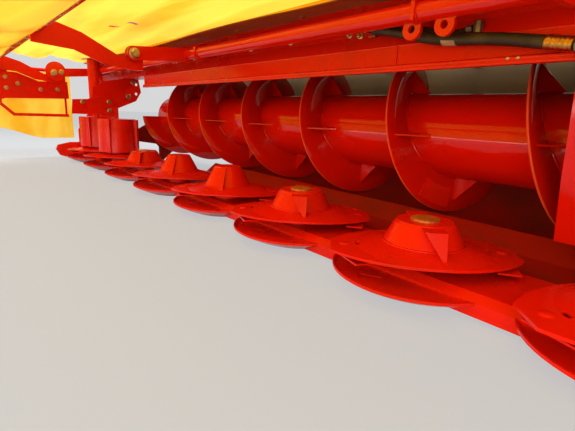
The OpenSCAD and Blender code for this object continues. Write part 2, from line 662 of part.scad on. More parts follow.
module side_frame() {
  loop_z = 296;
  knee_y = -440;
  toe = [-512, 366];
  along_x(side_x - 4, side_x + 4) polygon([[-515, 390], [-500, 576], [-400, 572], [-275, 524], [-95, 532],
    [-92, 415], [-477, 401]]);
  for (y = [-500, -150]) difference() {
    union() {
      rod_y(y, y + 44, side_x, side_z, 20);
      block([side_x - 4, y, 510], [side_x + 4, y + 44, side_z - 5]);
    }
    rod_y(y - 1, y + 45, side_x, side_z, guard_pin_r + run_gap);
  }
  rod_y(knee_y, -100, side_x + loop_off, loop_z, loop_r);
  translate([side_x + loop_off, knee_y, loop_z]) sphere(loop_r);
  translate([side_x + loop_off, knee_y, loop_z])
    rotate([90 - atan2(toe[1] - loop_z, knee_y - toe[0]), 0, 0])
      cylinder(h = norm([knee_y - toe[0], toe[1] - loop_z]), r = loop_r);
  block([side_x + 3, toe[0] - 3, toe[1] - 12], [side_x + 17, toe[0] + 9, 405]);
  block([side_x + 3, -120, loop_z - 8], [side_x + 17, -108, 430]);
}
module side_frame_left() color(red) mirror([1, 0, 0]) side_frame();
module side_frame_right() color(red) side_frame();
module side_tarp() along_x(side_x + tarp_off, side_x + tarp_off + tarp_t)
  polygon([[-560, side_low + 72], [-545, side_z - 10], [-70, side_z - 10], [-70, side_low], [-290, side_low]]);
module side_tarp_left() color(yellow) mirror([1, 0, 0]) side_tarp();
module side_tarp_right() color(yellow) side_tarp();

strap_xs = [-740, -390, 360, 760, 1326];
module rear_flap() color(beige) {
  rod_x(auger_left, bar_half - 10, flap_y, flap_z, flap_pin_r);
  along_x(auger_left, bar_half - 10)
    polygon([[flap_y - 2, flap_z - 26], [flap_y + 2, flap_z - 26], [flap_y + flap_belly, 400],
      [flap_y + 8, flap_low], [flap_y + 4, flap_low], [flap_y + flap_belly - 4, 400]]);
  for (x = strap_xs) along_x(x, x + 12)
    polygon([[flap_y - 8, flap_z], [flap_y + 8, flap_z], [flap_y + 2, flap_z - 50], [flap_y - 1, flap_z - 50]]);
}

module boom() color(red) {
  h = boom_s / 2;
  difference() {
    block([lift_x + 90, boom_y - h, lift_z - h], [120, boom_y + h, lift_z + h]);
    block([lift_x + 90 - 1, boom_y - h + boom_wall, lift_z - h + boom_wall],
      [110, boom_y + h - boom_wall, lift_z + h - boom_wall]);
  }
  difference() {
    union() {
      rod_y(boom_y - h, boom_y + h, lift_x, lift_z, 55);
      block([lift_x, boom_y - h, lift_z - 45], [lift_x + 110, boom_y + h, lift_z + 45]);
    }
    rod_y(boom_y - h - 1, boom_y + h + 1, lift_x, lift_z, pivot_pin_r + run_gap);
  }
  block([-50, boom_y - 34, unit_pivot_z], [50, boom_y + 34, lift_z - h + 5]);
  rod_y(boom_y - 34, boom_y + 34, 0, unit_pivot_z, 42);
  rod_y(boom_y - 70, boom_y + 70, 0, unit_pivot_z, pivot_pin_r);
  for (s = [-1, 1]) along_y(boom_y + s * 45 - 8, boom_y + s * 45 + 8)
    polygon([[lift_x + eye_out - 90, lift_z + h - 5], [lift_x + eye_out + 90, lift_z + h - 5],
      [lift_x + eye_out + 35, lift_z + eye_up + 35], [lift_x + eye_out - 35, lift_z + eye_up + 35]]);
  for (s = [-1, 1]) rod_y(boom_y + s * 47 - 9, boom_y + s * 47 + 9, lift_x + eye_out, lift_z + eye_up, pivot_pin_r + 4);
}

cyl_x = lift_x - cyl_back;
cyl_z = lift_z + cyl_up;
cyl_run = [eye_out + cyl_back, eye_up - cyl_up];
cyl_l = norm(cyl_run);
cyl_a = atan2(cyl_run[1], cyl_run[0]);
module along_cylinder() translate([cyl_x, boom_y, cyl_z]) rotate([0, -cyl_a, 0]) rotate([0, 90, 0]) children();
module lift_barrel() color(red) {
  barrel_l = 880;
  difference() {
    union() {
      along_cylinder() translate([0, 0, 40]) difference() {
        cylinder(h = barrel_l, r = barrel_r);
        translate([0, 0, 60]) cylinder(h = barrel_l, r = rod_r + run_gap);
      }
      rod_y(boom_y - barrel_r, boom_y + barrel_r, cyl_x, cyl_z, 42);
    }
    rod_y(boom_y - barrel_r - 1, boom_y + barrel_r + 1, cyl_x, cyl_z, pivot_pin_r + run_gap);
  }
}
module lift_rod() color(steel) {
  along_cylinder() translate([0, 0, 860]) cylinder(h = cyl_l - 860 - 30, r = rod_r);
  rod_y(boom_y - 30, boom_y + 30, lift_x + eye_out, lift_z + eye_up, 38);
  rod_y(boom_y - 36, boom_y + 36, lift_x + eye_out, lift_z + eye_up, pivot_pin_r);
}

frame_z0 = lift_z - 90;
frame_z1 = lift_z + 50;
module swing_frame() color(red) {
  h = boom_s / 2;
  mast_gap = barrel_r + 18;
  difference() {
    union() {
      translate([swing_x, swing_y, hitch_z + 60]) cylinder(h = frame_z1 - hitch_z - 60, r = 55);
      difference() {
        union() {
          block([swing_x - 60, swing_y, frame_z0], [swing_x + 60, boom_y + h + 18, frame_z1]);
          block([swing_x, boom_y - h - 18, frame_z0], [lift_x - 80, boom_y + h + 18, frame_z1]);
        }
        block([swing_x - 60 + hitch_wall, swing_y + 70, frame_z0 + hitch_wall],
          [swing_x + 60 - hitch_wall, boom_y + h, frame_z1 - hitch_wall]);
        block([swing_x + 60, boom_y - h, frame_z0 + hitch_wall],
          [lift_x - 80 - hitch_wall, boom_y + h, frame_z1 - hitch_wall]);
      }
      for (s = [-1, 1]) along_y(boom_y + s * (h + 10) - 8, boom_y + s * (h + 10) + 8)
        polygon([[lift_x - 300, frame_z0], [lift_x - 300, frame_z1], [lift_x + 50, lift_z + 50], [lift_x + 50, lift_z - 50]]);
      for (s = [-1, 1]) along_y(boom_y + s * mast_gap - 8, boom_y + s * mast_gap + 8)
        polygon([[cyl_x - 160, frame_z1 - 5], [cyl_x + 120, frame_z1 - 5], [cyl_x + 40, cyl_z + 40], [cyl_x - 40, cyl_z + 40]]);
    }
    translate([swing_x, swing_y, hitch_z]) cylinder(h = frame_z1, r = 35 + run_gap);
  }
  rod_y(boom_y - h - 24, boom_y + h + 24, lift_x, lift_z, pivot_pin_r);
  rod_y(boom_y - mast_gap - 14, boom_y + mast_gap + 14, cyl_x, cyl_z, pivot_pin_r);
}
leg_xs = [hitch_x - hitch_span / 2 + 60, swing_x - 110];
hs = hitch_span / 2;
beam_z0 = hitch_z - 60;
beam_z1 = hitch_z + 50;
module headstock() color(red) {
  difference() {
    union() {
      box_section([hitch_x - hs - 8, hitch_y - 10, beam_z0], [hitch_x + hs + 8, hitch_y + 110, beam_z1], hitch_wall);
      difference() {
        block([swing_x - 70, hitch_y + 60, beam_z0], [swing_x + 70, swing_y + 60, beam_z1]);
        block([swing_x - 60, hitch_y + 111, beam_z0 + hitch_wall], [swing_x + 60, swing_y - 50, beam_z1 - hitch_wall]);
      }
    }
    for (x = leg_xs) translate([x - leg_s / 2 - run_gap, hitch_y + 31 - run_gap, 0])
      cube([leg_s + 2 * run_gap, leg_s + 2 * run_gap, 1000]);
  }
  translate([swing_x, swing_y, beam_z1 - 1]) cylinder(h = frame_z1 + 30 - beam_z1, r = 35);
  translate([swing_x, swing_y, frame_z1 + 6]) cylinder(h = 20, r = 60);
  for (s = [-1, 1]) rod_x(hitch_x + s * (hs + pin_len / 2) - pin_len / 2, hitch_x + s * (hs + pin_len / 2) + pin_len / 2,
    hitch_y - 20, hitch_z, hitch_pin_r);
  for (s = [-1, 1]) along_x(hitch_x + s * hs - 8, hitch_x + s * hs + 8)
    polygon([[hitch_y - 60, hitch_z - 45], [hitch_y + 80, hitch_z - 60], [hitch_y + 80, hitch_z + 50], [hitch_y - 60, hitch_z + 30]]);
}

// Frame over the headstock that carries the top link
module mast() color(red) {
  top_z = hitch_z + mast_h;
  difference() {
    union() {
      for (s = [-1, 1]) along_y(hitch_y + 20, hitch_y + 90)
        polygon([[hitch_x + s * 255, beam_z1], [hitch_x + s * 190, beam_z1], [hitch_x + s * 28, top_z - 60],
          [hitch_x + s * 28, top_z + 40], [hitch_x + s * 44, top_z + 40]]);
      for (s = [-1, 1]) block([hitch_x + s * 36 - 8, hitch_y - 30, top_z - 40], [hitch_x + s * 36 + 8, hitch_y + 60, top_z + 40]);
      block([hitch_x - 44, hitch_y + 60, top_z - 60], [hitch_x + 44, hitch_y + 90, top_z - 20]);
    }
    rod_x(hitch_x - 60, hitch_x + 60, hitch_y, top_z, top_bore_r);
  }
}
module leg(x) {
  translate([x - leg_s / 2, hitch_y + 31, 10]) cube([leg_s, leg_s, 700]);
  translate([x - 70, hitch_y - 10, 0]) cube([140, 150, 11]);
}
module leg_left() color(steel) leg(leg_xs[0]);
module leg_right() color(steel) leg(leg_xs[1]);

module placed() translate([shift_x, shift_y, 0]) children();

placed() cutter_bar();
placed() skids();
placed() shoe_left();
placed() shoe_right();
placed() main_beam();
placed() hinge_tube();
placed() end_plate_left();
placed() end_plate_right();
placed() guide_plate();
placed() deflector();
placed() trough();
placed() rear_hood();
placed() cover_tarp();
placed() top_cover();
placed() auger_bracket();
placed() gearbox();
placed() unit_pivot();
placed() hose();
placed() hose_ends();
placed() auger_tube();
placed() auger_flight();
placed() disc(1);  // disc_1
placed() disc(2);  // disc_2
placed() disc(3);  // disc_3
placed() disc(4);  // disc_4
placed() disc(5);  // disc_5
placed() disc(6);  // disc_6
placed() disc(7);  // disc_7
placed() disc(8);  // disc_8
placed() knives(1);  // knives_1
placed() knives(2);  // knives_2
placed() knives(3);  // knives_3
placed() knives(4);  // knives_4
placed() knives(5);  // knives_5
placed() knives(6);  // knives_6
placed() knives(7);  // knives_7
placed() knives(8);  // knives_8
placed() drum(7);  // drum_7
placed() drum(8);  // drum_8
placed() guard_frame();
placed() guard_rail();
placed() guard_outriggers();
placed() guard_tarp();
placed() side_frame_left();
placed() side_tarp_left();
placed() side_frame_right();
placed() side_tarp_right();
placed() rear_flap();
placed() boom();
placed() lift_barrel();
placed() lift_rod();
placed() swing_frame();
placed() headstock();
placed() mast();
placed() leg_left();
placed() leg_right();
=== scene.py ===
# %% [markdown]
# # A side-mounted disc mower, seen from in front and just above the ground
#
# The rigid parts come from a CAD model that is already packed with its joints.
# Blender adds what CAD leaves out: paint, cloth, hoses, bolts and welds.
# Each cell makes one thing and says how it is made and why this way was chosen.

# %% Load the frame
import math

import bpy
from mathutils import Matrix, Vector


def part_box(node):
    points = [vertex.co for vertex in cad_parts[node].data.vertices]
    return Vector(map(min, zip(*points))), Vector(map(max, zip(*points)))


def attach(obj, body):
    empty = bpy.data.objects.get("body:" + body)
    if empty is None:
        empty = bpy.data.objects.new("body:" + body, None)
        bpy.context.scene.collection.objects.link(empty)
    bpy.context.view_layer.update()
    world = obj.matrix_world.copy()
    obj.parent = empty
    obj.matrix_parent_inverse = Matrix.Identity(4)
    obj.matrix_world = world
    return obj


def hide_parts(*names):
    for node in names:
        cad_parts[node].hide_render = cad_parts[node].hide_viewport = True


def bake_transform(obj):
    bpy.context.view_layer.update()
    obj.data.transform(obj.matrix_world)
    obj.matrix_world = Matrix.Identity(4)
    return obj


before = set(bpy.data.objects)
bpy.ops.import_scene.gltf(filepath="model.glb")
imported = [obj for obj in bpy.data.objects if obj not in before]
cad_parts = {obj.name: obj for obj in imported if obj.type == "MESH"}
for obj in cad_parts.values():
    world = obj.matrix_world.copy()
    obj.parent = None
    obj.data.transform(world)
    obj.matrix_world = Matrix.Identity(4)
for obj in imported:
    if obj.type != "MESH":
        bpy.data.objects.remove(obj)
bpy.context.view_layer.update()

# %% [markdown]
# The mowing unit has an origin of its own: the middle of the cutter bar, on the
# line of the disc shafts, on the ground. Every size below is measured from there,
# so `unit` turns a place on the mower into a place in the frame.

# %% The unit's own origin
bar_low, bar_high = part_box("cutter_bar")
disc_low, disc_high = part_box("disc_4")
UNIT_ORIGIN = Vector(((bar_low.x + bar_high.x) / 2, (disc_low.y + disc_high.y) / 2, 0))


def unit(x, y, z):
    """A place on the mower, in metres from the unit's origin, as a place in the frame."""
    return UNIT_ORIGIN + Vector((x, y, z))


print("unit origin:", [round(v, 4) for v in UNIT_ORIGIN])

# %% [markdown]
# ## Camera
#
# The photographer crouched by the right-hand end of the cutter bar, with a wide
# lens close to the ground. A wide lens makes the near discs large and the far
# ones small, which is what gives this picture its depth.

# %% Camera
CAMERA_AT = unit(1.594, -0.826, 0.369)
CAMERA_TURN = math.radians(50.64)   # to the left of straight back
CAMERA_TILT = math.radians(-13.71)  # downwards
CAMERA_ROLL = math.radians(2.217)
camera_data = bpy.data.cameras.new("camera")
camera_data.sensor_width = 36
camera_data.lens = 26.08
camera_data.clip_start = 0.02
camera = bpy.data.objects.new("camera", camera_data)
bpy.context.scene.collection.objects.link(camera)
camera.matrix_world = (Matrix.Translation(CAMERA_AT) @ Matrix.Rotation(CAMERA_TURN, 4, "Z")
                       @ Matrix.Rotation(math.pi / 2 + CAMERA_TILT, 4, "X")
                       @ Matrix.Rotation(CAMERA_ROLL, 4, "Z"))
bpy.context.scene.camera = camera
print("camera:", [round(v, 3) for v in CAMERA_AT])

# %% [markdown]
# ## Helpers for materials
#
# Colours are written as the hex values that a screen shows. Blender computes
# with linear light, so one function turns one into the other. Another adds a
# shader node with its inputs, its settings and, for a colour ramp, its stops as
# pairs of a position and a hex colour.

# %% Colour and node helpers
def linear(hex_colour):
    """A screen colour such as D3200C as linear red, green, blue and alpha."""
    shown = [int(hex_colour[i:i + 2], 16) / 255 for i in (0, 2, 4)]
    return [v / 12.92 if v <= 0.04045 else ((v + 0.055) / 1.055) ** 2.4 for v in shown] + [1]


def set_inputs(tree, node, inputs):
    """Sets a node's inputs. Each is a value, or the output of another node."""
    for name, value in inputs.items():
        if isinstance(value, bpy.types.NodeSocket):
            tree.links.new(value, node.inputs[name])
        else:
            node.inputs[name].default_value = value


def add_node(tree, kind, inputs=(), stops=(), **settings):
    """One shader node."""
    node = tree.nodes.new("ShaderNode" + kind)
    for name, value in settings.items():
        setattr(node, name, value)
    set_inputs(tree, node, dict(inputs))
    for index, (position, colour) in enumerate(stops):
        element = node.color_ramp.elements[index]
        element.position, element.color = position, linear(colour)
    return node


def new_material(name):
    """An empty material: its tree, its object coordinates and its shader."""
    material = bpy.data.materials.new(name)
    material.use_nodes = True
    tree = material.node_tree
    shader = tree.nodes["Principled BSDF"]
    place = add_node(tree, "TexCoord").outputs["Object"]
    return material, tree, place, shader


# %% [markdown]
# ## Powder-coated steel
#
# Most of the mower is steel plate, blasted and powder coated in orange-red. The
# powder melts into a thick, glossy skin with a faint orange peel a few
# millimetres across. Field dust dulls it in soft patches, so the roughness
# varies more than the colour does. The auger is rubbed by the crop until it
# shines. The sheets behind it, the skids and the auger's bracket stay matt and
# dusty, and their deeper red is painted shade, for they lie under the auger
# and the discs.

# %% Powder coat
COATING_IOR = 1.5  # of paint and of PVC


def powder_coat(name, clean, dusty, gloss, spread, shine=0.18):
    """Gloss is clean paint's roughness, spread what dust adds to it, shine its specular level."""
    material, tree, place, shader = new_material(name)
    dust = add_node(tree, "TexNoise", {"Vector": place, "Scale": 4.5, "Detail": 6, "Roughness": 0.62})
    peel = add_node(tree, "TexNoise", {"Vector": place, "Scale": 260, "Detail": 2})
    scuff = add_node(tree, "TexNoise", {"Vector": place, "Scale": 38, "Detail": 8, "Roughness": 0.75})
    coat = add_node(tree, "ValToRGB", {"Fac": dust.outputs["Fac"]}, stops=[(0.46, clean), (0.80, dusty)])
    worn = add_node(tree, "ValToRGB", {"Fac": scuff.outputs["Fac"]},
                    stops=[(0.60, "FFFFFF"), (0.82, "D8C4B8")])
    colour = add_node(tree, "Mix", {"Factor": 0.8, "A": coat.outputs["Color"], "B": worn.outputs["Color"]},
                      data_type="RGBA", blend_type="MULTIPLY")
    dull = add_node(tree, "MapRange", {"Value": dust.outputs["Fac"], "From Min": 0.35, "From Max": 0.75,
                                       "To Min": gloss, "To Max": gloss + spread})
    bump = add_node(tree, "Bump", {"Strength": 0.10, "Distance": 0.0006, "Height": peel.outputs["Fac"]})
    set_inputs(tree, shader, {"Base Color": colour.outputs["Result"], "Roughness": dull.outputs["Result"],
                              "Normal": bump.outputs["Normal"], "IOR": COATING_IOR,
                              "Specular IOR Level": shine})
    return material


red_coat = powder_coat("powder_coated_steel", "DC1A03", "C2220A", 0.19, 0.20)
auger_coat = powder_coat("crop_polished_coat", "D01202", "C01604", 0.06, 0.07, 0.32)
tube_coat = powder_coat("wiped_powder_coat", "DC1A03", "CA2208", 0.10, 0.10, 0.40)
# A darker copy of the red coat: painted shade for the trough, the skids and the auger's bracket, with real
# dust mottled in.
shade_dark_coat = powder_coat("painted_shade_dusty_coat", "9A1606", "6E2414", 0.48, 0.25)
beige_sheet = powder_coat("dusty_primed_sheet", "8C7452", "6E563A", 0.60, 0.20)
print("coats of paint:", len(bpy.data.materials))

# %% [markdown]
# ## Bare, plated and chromed metal
#
# Legs and bolts are zinc plated and have yellowed. The hose ends are brass-coloured
# zinc, the caps of the discs' hubs are bronze-brown, and the piston rod is ground
# and hard chromed, the one true mirror on the machine.

# %% Metals
def metal(name, base, stain, rough, grain):
    """Rough is the middle roughness, and grain is how many stains a metre shows."""
    material, tree, place, shader = new_material(name)
    marks = add_node(tree, "TexNoise", {"Vector": place, "Scale": grain, "Detail": 5, "Roughness": 0.65})
    tint = add_node(tree, "ValToRGB", {"Fac": marks.outputs["Fac"]}, stops=[(0.38, base), (0.72, stain)])
    dull = add_node(tree, "MapRange", {"Value": marks.outputs["Fac"], "To Min": rough * 0.75,
                                       "To Max": rough * 1.35})
    bump = add_node(tree, "Bump", {"Strength": 0.15, "Distance": 0.0004, "Height": marks.outputs["Fac"]})
    set_inputs(tree, shader, {"Base Color": tint.outputs["Color"], "Roughness": dull.outputs["Result"],
                              "Normal": bump.outputs["Normal"], "Metallic": 1})
    return material


zinc_plate = metal("yellow_zinc_plate", "C9BFA0", "A07E42", 0.36, 90)
dull_zinc = metal("grey_zinc_plate", "9C9A94", "6E6860", 0.42, 90)
bronze = metal("bronze_hub_cap", "E29A58", "B87038", 0.62, 120)
brass_zinc = metal("brass_ferrule", "D09A4E", "96692E", 0.30, 140)
hard_chrome = metal("hard_chrome", "E6E6E6", "D0D0D0", 0.10, 30)
print("coats and metals:", len(bpy.data.materials))

# %% [markdown]
# ## Coated fabric
#
# The guards are polyester cloth coated with PVC, the stuff of lorry tarps. It is
# thin enough to glow when the sky is behind it. A translucent shader mixed in
# passes that light. A cloth has two faces, and light that is inside it leaves
# freely, or it would be coloured twice. Long streaks of painted shade run with
# the bar in place of the shading of folds: a stretched noise darkens there the
# light that the cloth passes. A woven bump comes from two crossed wave patterns:
# real threads stand 0.7 mm apart, and 3 mm here so that they show.

# %% Coated fabric
WEAVE_SCALE = 105  # one wave is 0.314 m over its scale, so a thread each 3 mm


def coated_fabric(name, clean, soiled, through, painted_fold_shade, glow, rough):
    """Through is the light that the cloth passes, painted_fold_shade the darker light painted in streaks as
    shade of folds, and glow its share.
    """
    material, tree, place, shader = new_material(name)
    soil = add_node(tree, "TexNoise", {"Vector": place, "Scale": 3.5, "Detail": 5, "Roughness": 0.6})
    colour = add_node(tree, "ValToRGB", {"Fac": soil.outputs["Fac"]}, stops=[(0.42, clean), (0.75, soiled)])
    warp, weft = (add_node(tree, "TexWave", {"Vector": place, "Scale": WEAVE_SCALE},
                           bands_direction=way) for way in "XY")
    weave = add_node(tree, "Math", {0: warp.outputs["Fac"], 1: weft.outputs["Fac"]}, operation="MULTIPLY")
    bump = add_node(tree, "Bump", {"Strength": 0.12, "Distance": 0.0006, "Height": weave.outputs["Value"]})
    set_inputs(tree, shader, {"Base Color": colour.outputs["Color"], "Normal": bump.outputs["Normal"],
                              "Roughness": rough, "IOR": COATING_IOR})
    along = add_node(tree, "Mapping", {"Vector": place, "Scale": (0.8, 5.5, 2.5)})
    fold_shade_noise = add_node(tree, "TexNoise", {"Vector": along.outputs["Vector"], "Scale": 1.6, "Detail": 3,
                                         "Roughness": 0.45})
    passed = add_node(tree, "ValToRGB", {"Fac": fold_shade_noise.outputs["Fac"]},
                      stops=[(0.44, through), (0.66, painted_fold_shade)])
    veil = add_node(tree, "BsdfTranslucent", {"Color": passed.outputs["Color"]})
    cloth_face = add_node(tree, "MixShader", {0: glow, 1: shader.outputs["BSDF"], 2: veil.outputs["BSDF"]})
    inside = add_node(tree, "NewGeometry").outputs["Backfacing"]
    leaving = add_node(tree, "BsdfTransparent")
    both = add_node(tree, "MixShader", {0: inside, 1: cloth_face.outputs["Shader"],
                                        2: leaving.outputs["BSDF"]})
    set_inputs(tree, tree.nodes["Material Output"], {"Surface": both.outputs["Shader"]})
    return material


# The fourth colour of each cloth is the painted shade of its folds.
yellow_tarp = coated_fabric("pvc_tarpaulin", "FFC010", "F2AC0C", "FFE052", "F4BC2C", 0.66, 0.42)
inner_tarp = coated_fabric("thin_inner_tarp", "FFE070", "FAD25C", "FFFBE0", "FFE9A4", 0.92, 0.42)
# The apron's brown is painted shade: it stands for the yellow tarp where no light comes through.
shade_brown_apron = coated_fabric("painted_shade_apron", "8E4A2E", "6E3A24", "7A3A1C", "6A3018", 0.12, 0.38)
beige_flap = coated_fabric("dusty_flap_cloth", "94805E", "74603F", "6E5A3A", "5E4C30", 0.12, 0.60)
webbing = coated_fabric("black_webbing", "2A2622", "3A342C", "2A2622", "241F1B", 0.05, 0.75)
print("coats, metals and cloths:", len(bpy.data.materials))

# %% [markdown]
# ## Rubber
#
# A hydraulic hose has a wrapped rubber cover. The wrapping tape leaves a fine
# print round it, about one turn each 4 mm, which breaks up its highlight.

# %% Rubber
def wrapped_rubber(name, clean, dusty):
    """Rubber with the fine print of its wrapping tape, and dust in its grooves."""
    material, tree, place, shader = new_material(name)
    tape = add_node(tree, "TexWave", {"Vector": place, "Scale": 80, "Distortion": 1.5}, bands_direction="X")
    dust = add_node(tree, "TexNoise", {"Vector": place, "Scale": 22, "Detail": 6})
    colour = add_node(tree, "ValToRGB", {"Fac": dust.outputs["Fac"]}, stops=[(0.45, clean), (0.78, dusty)])
    bump = add_node(tree, "Bump", {"Strength": 0.35, "Distance": 0.0008, "Height": tape.outputs["Fac"]})
    set_inputs(tree, shader, {"Base Color": colour.outputs["Color"], "Normal": bump.outputs["Normal"],
                              "Roughness": 0.55, "IOR": 1.52})
    return material


hose_rubber = wrapped_rubber("wrapped_hose_rubber", "241A12", "4A3A28")
pale_print = wrapped_rubber("pale_printed_band", "A8988C", "8C7A6A")
print("materials:", len(bpy.data.materials))

# %% [markdown]
# ## Finishes on the CAD parts
#
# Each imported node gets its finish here. Only the material changes: shapes and
# places stay as the CAD has them.

# %% Finishes
FINISHES = {"lift_rod": hard_chrome, "skids": shade_dark_coat, "trough": shade_dark_coat, "auger_bracket": shade_dark_coat,
            "deflector": auger_coat, "auger_tube": auger_coat, "auger_flight": auger_coat,
            "rear_hood": beige_sheet, "hinge_tube": tube_coat, "leg_left": dull_zinc, "leg_right": dull_zinc}
for node_name, node_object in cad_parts.items():
    node_object.data.materials.clear()
    node_object.data.materials.append(FINISHES.get(node_name, red_coat))
print("finished nodes:", len(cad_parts))

# %% [markdown]
# ## Mesh helpers
#
# Small parts are collected as points and faces, so that a row of forty bolts is
# one light mesh. Bolts, caps, washers and ferrules are all solids of revolution:
# an outline of radius and height, turned about an axis. A hexagon head is the
# same thing with six sides. Hoses and weld beads are a ring swept along a path.

# %% Mesh helpers
RIGHT, LEFT, BACK, FRONT, UP, DOWN = (1, 0, 0), (-1, 0, 0), (0, 1, 0), (0, -1, 0), (0, 0, 1), (0, 0, -1)
SIDES = ((-1, "left"), (1, "right"))


def new_piece(name, body, material, shape, sharp=40):
    """One object from a pair of point and face lists. Bends of more than sharp degrees stay sharp."""
    mesh = bpy.data.meshes.new(name)
    mesh.from_pydata([tuple(p) for p in shape[0]], [], shape[1])
    mesh.validate()
    mesh.shade_smooth()
    mesh.set_sharp_from_angle(angle=math.radians(sharp))
    mesh.materials.append(material)
    piece = bpy.data.objects.new(name, mesh)
    bpy.context.scene.collection.objects.link(piece)
    if body:
        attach(piece, body)
    return piece


def turned(shape, centre, axis, outline, sides=20, spin=0.0):
    """Adds a solid of revolution. Outline runs from its foot to its tip as (radius, height)."""
    points, faces = shape
    axis = Vector(axis).normalized()
    across = axis.orthogonal().normalized()
    along = axis.cross(across)
    base = len(points)
    for radius, height in outline:
        for k in range(sides):
            angle = spin + 2 * math.pi * k / sides
            out = across * math.cos(angle) + along * math.sin(angle)
            points.append(centre + axis * height + out * radius)
    rings = len(outline)
    for ring in range(rings - 1):
        for k in range(sides):
            a, b = base + ring * sides + k, base + ring * sides + (k + 1) % sides
            faces.append((a, b, b + sides, a + sides))
    faces.append(tuple(base + k for k in reversed(range(sides))))
    faces.append(tuple(base + (rings - 1) * sides + k for k in range(sides)))


def turned_piece(name, body, material, solids):
    """One piece from a table of solids of revolution: centre, axis, outline and sides."""
    shape = ([], [])
    for centre, axis, outline, sides in solids:
        turned(shape, centre, axis, outline, sides)
    return new_piece(name, body, material, shape)


RIPPLE_PITCH = 0.006  # how far apart the ripples of a weld bead lie


def swept(shape, path, radius, sides=10, ripple=0.0, closed=False):
    """Adds a round rod along a path. A ripple in its radius makes it a weld bead."""
    points, faces = shape
    base, count, run = len(points), len(path), 0.0
    guide = Vector((0.31, 0.17, 0.93))
    for k, place in enumerate(path):
        ahead = path[(k + 1) % count] if closed else path[min(k + 1, count - 1)]
        behind = path[k - 1] if closed or k else path[0]
        way = (ahead - behind).normalized()
        side = way.cross(guide).normalized()
        up = side.cross(way)
        run += (place - path[max(k - 1, 0)]).length
        reach = radius * (1 + ripple * math.sin(2 * math.pi * run / RIPPLE_PITCH))
        for j in range(sides):
            angle = 2 * math.pi * j / sides
            points.append(place + (side * math.cos(angle) + up * math.sin(angle)) * reach)
    for k in range(count if closed else count - 1):
        for j in range(sides):
            a, b = base + k * sides + j, base + k * sides + (j + 1) % sides
            c, d = (base + (k + 1) % count * sides + (j + 1) % sides, base + (k + 1) % count * sides + j)
            faces.append((a, b, c, d))
    if not closed:
        faces.append(tuple(base + j for j in reversed(range(sides))))
        faces.append(tuple(base + (count - 1) * sides + j for j in range(sides)))


def hex_bolt(shape, centre, axis, flats=0.019, spin=0.0):
    """A washer and a hexagon head with its chamfer. Flats is the spanner size."""
    corner = flats / math.sqrt(3)
    washer = [(corner * 1.25, -0.001), (corner * 1.25, 0.0022), (corner * 1.18, 0.0028)]
    head = [(corner, 0.002), (corner, flats * 0.52), (corner * 0.86, flats * 0.62)]
    turned(shape, centre, axis, washer, 24)
    turned(shape, centre, axis, head, 6, spin)


def arc(centre, radius, start, end, steps, across=BACK, along=UP):
    """Points on a circle's arc between two angles in degrees."""
    across, along = Vector(across), Vector(along)
    angles = [math.radians(start + (end - start) * k / steps) for k in range(steps + 1)]
    return [centre + across * radius * math.cos(a) + along * radius * math.sin(a) for a in angles]


def length_of(path):
    """The length of a line of points."""
    return sum((b - a).length for a, b in zip(path, path[1:]))


# %% [markdown]
# ## Cloth helper
#
# Every cloth starts as a flat grid. A function gives the place of each point
# from its share of the width and of the length, and the mesh gets a face on
# either side and a rim, because a cloth of no thickness has no edge to see.
# Cells can be left out, which cuts a notch. A hanging tarp that is laced at its
# edges is stretched more than it drapes, so folds written as waves look closer
# to it than a simulation, which would let it sag like a bed sheet.

# %% Cloth helper
def cloth(columns, rows, place, thick=0.0016, keep=None):
    """Points and faces of a cloth. place(u, v) is its middle, and keep(u, v) says which cells stay."""
    step = 1e-4
    points, faces, edges = [], [], {}
    for layer in (1, -1):
        for j in range(rows + 1):
            for i in range(columns + 1):
                u, v = i / columns, j / rows
                across = place(u + step, v) - place(u - step, v)
                along = place(u, v + step) - place(u, v - step)
                points.append(place(u, v) + across.cross(along).normalized() * layer * thick / 2)
    under = (columns + 1) * (rows + 1)
    for j in range(rows):
        for i in range(columns):
            if keep and not keep((i + 0.5) / columns, (j + 0.5) / rows):
                continue
            a = j * (columns + 1) + i
            ring = (a, a + 1, a + columns + 2, a + columns + 1)
            faces.append(ring)
            faces.append(tuple(under + k for k in reversed(ring)))
            for start, end in zip(ring, ring[1:] + ring[:1]):
                edges[(start, end)] = True
    for start, end in edges:
        if (end, start) not in edges:
            faces.append((end, start, under + start, under + end))
    used = sorted({k for face in faces for k in face})
    number = {k: n for n, k in enumerate(used)}
    return [points[k] for k in used], [tuple(number[k] for k in face) for face in faces]


def follow(path, share):
    """The point at a share of a path's length, and beyond its ends on a straight line."""
    lengths = [(b - a).length for a, b in zip(path, path[1:])]
    goal = share * sum(lengths)
    for a, b, length in zip(path, path[1:], lengths):
        if goal <= length or b is path[-1]:
            return a + (b - a) * (goal / length)
        goal -= length


def smooth(value, low, high):
    """0 below low, 1 above high, and a soft step between them."""
    share = min(max((value - low) / (high - low), 0), 1)
    return share * share * (3 - 2 * share)


# %% [markdown]
# ## Front tarp
#
# One tarp runs from the apron forward over the discs, over the guard's front
# rail and down as a curtain. It crosses the line on which the guard folds up,
# and slots let the three arms of the guard swing through it. Long soft folds run
# with the bar, because the cloth is pulled from front to back only.

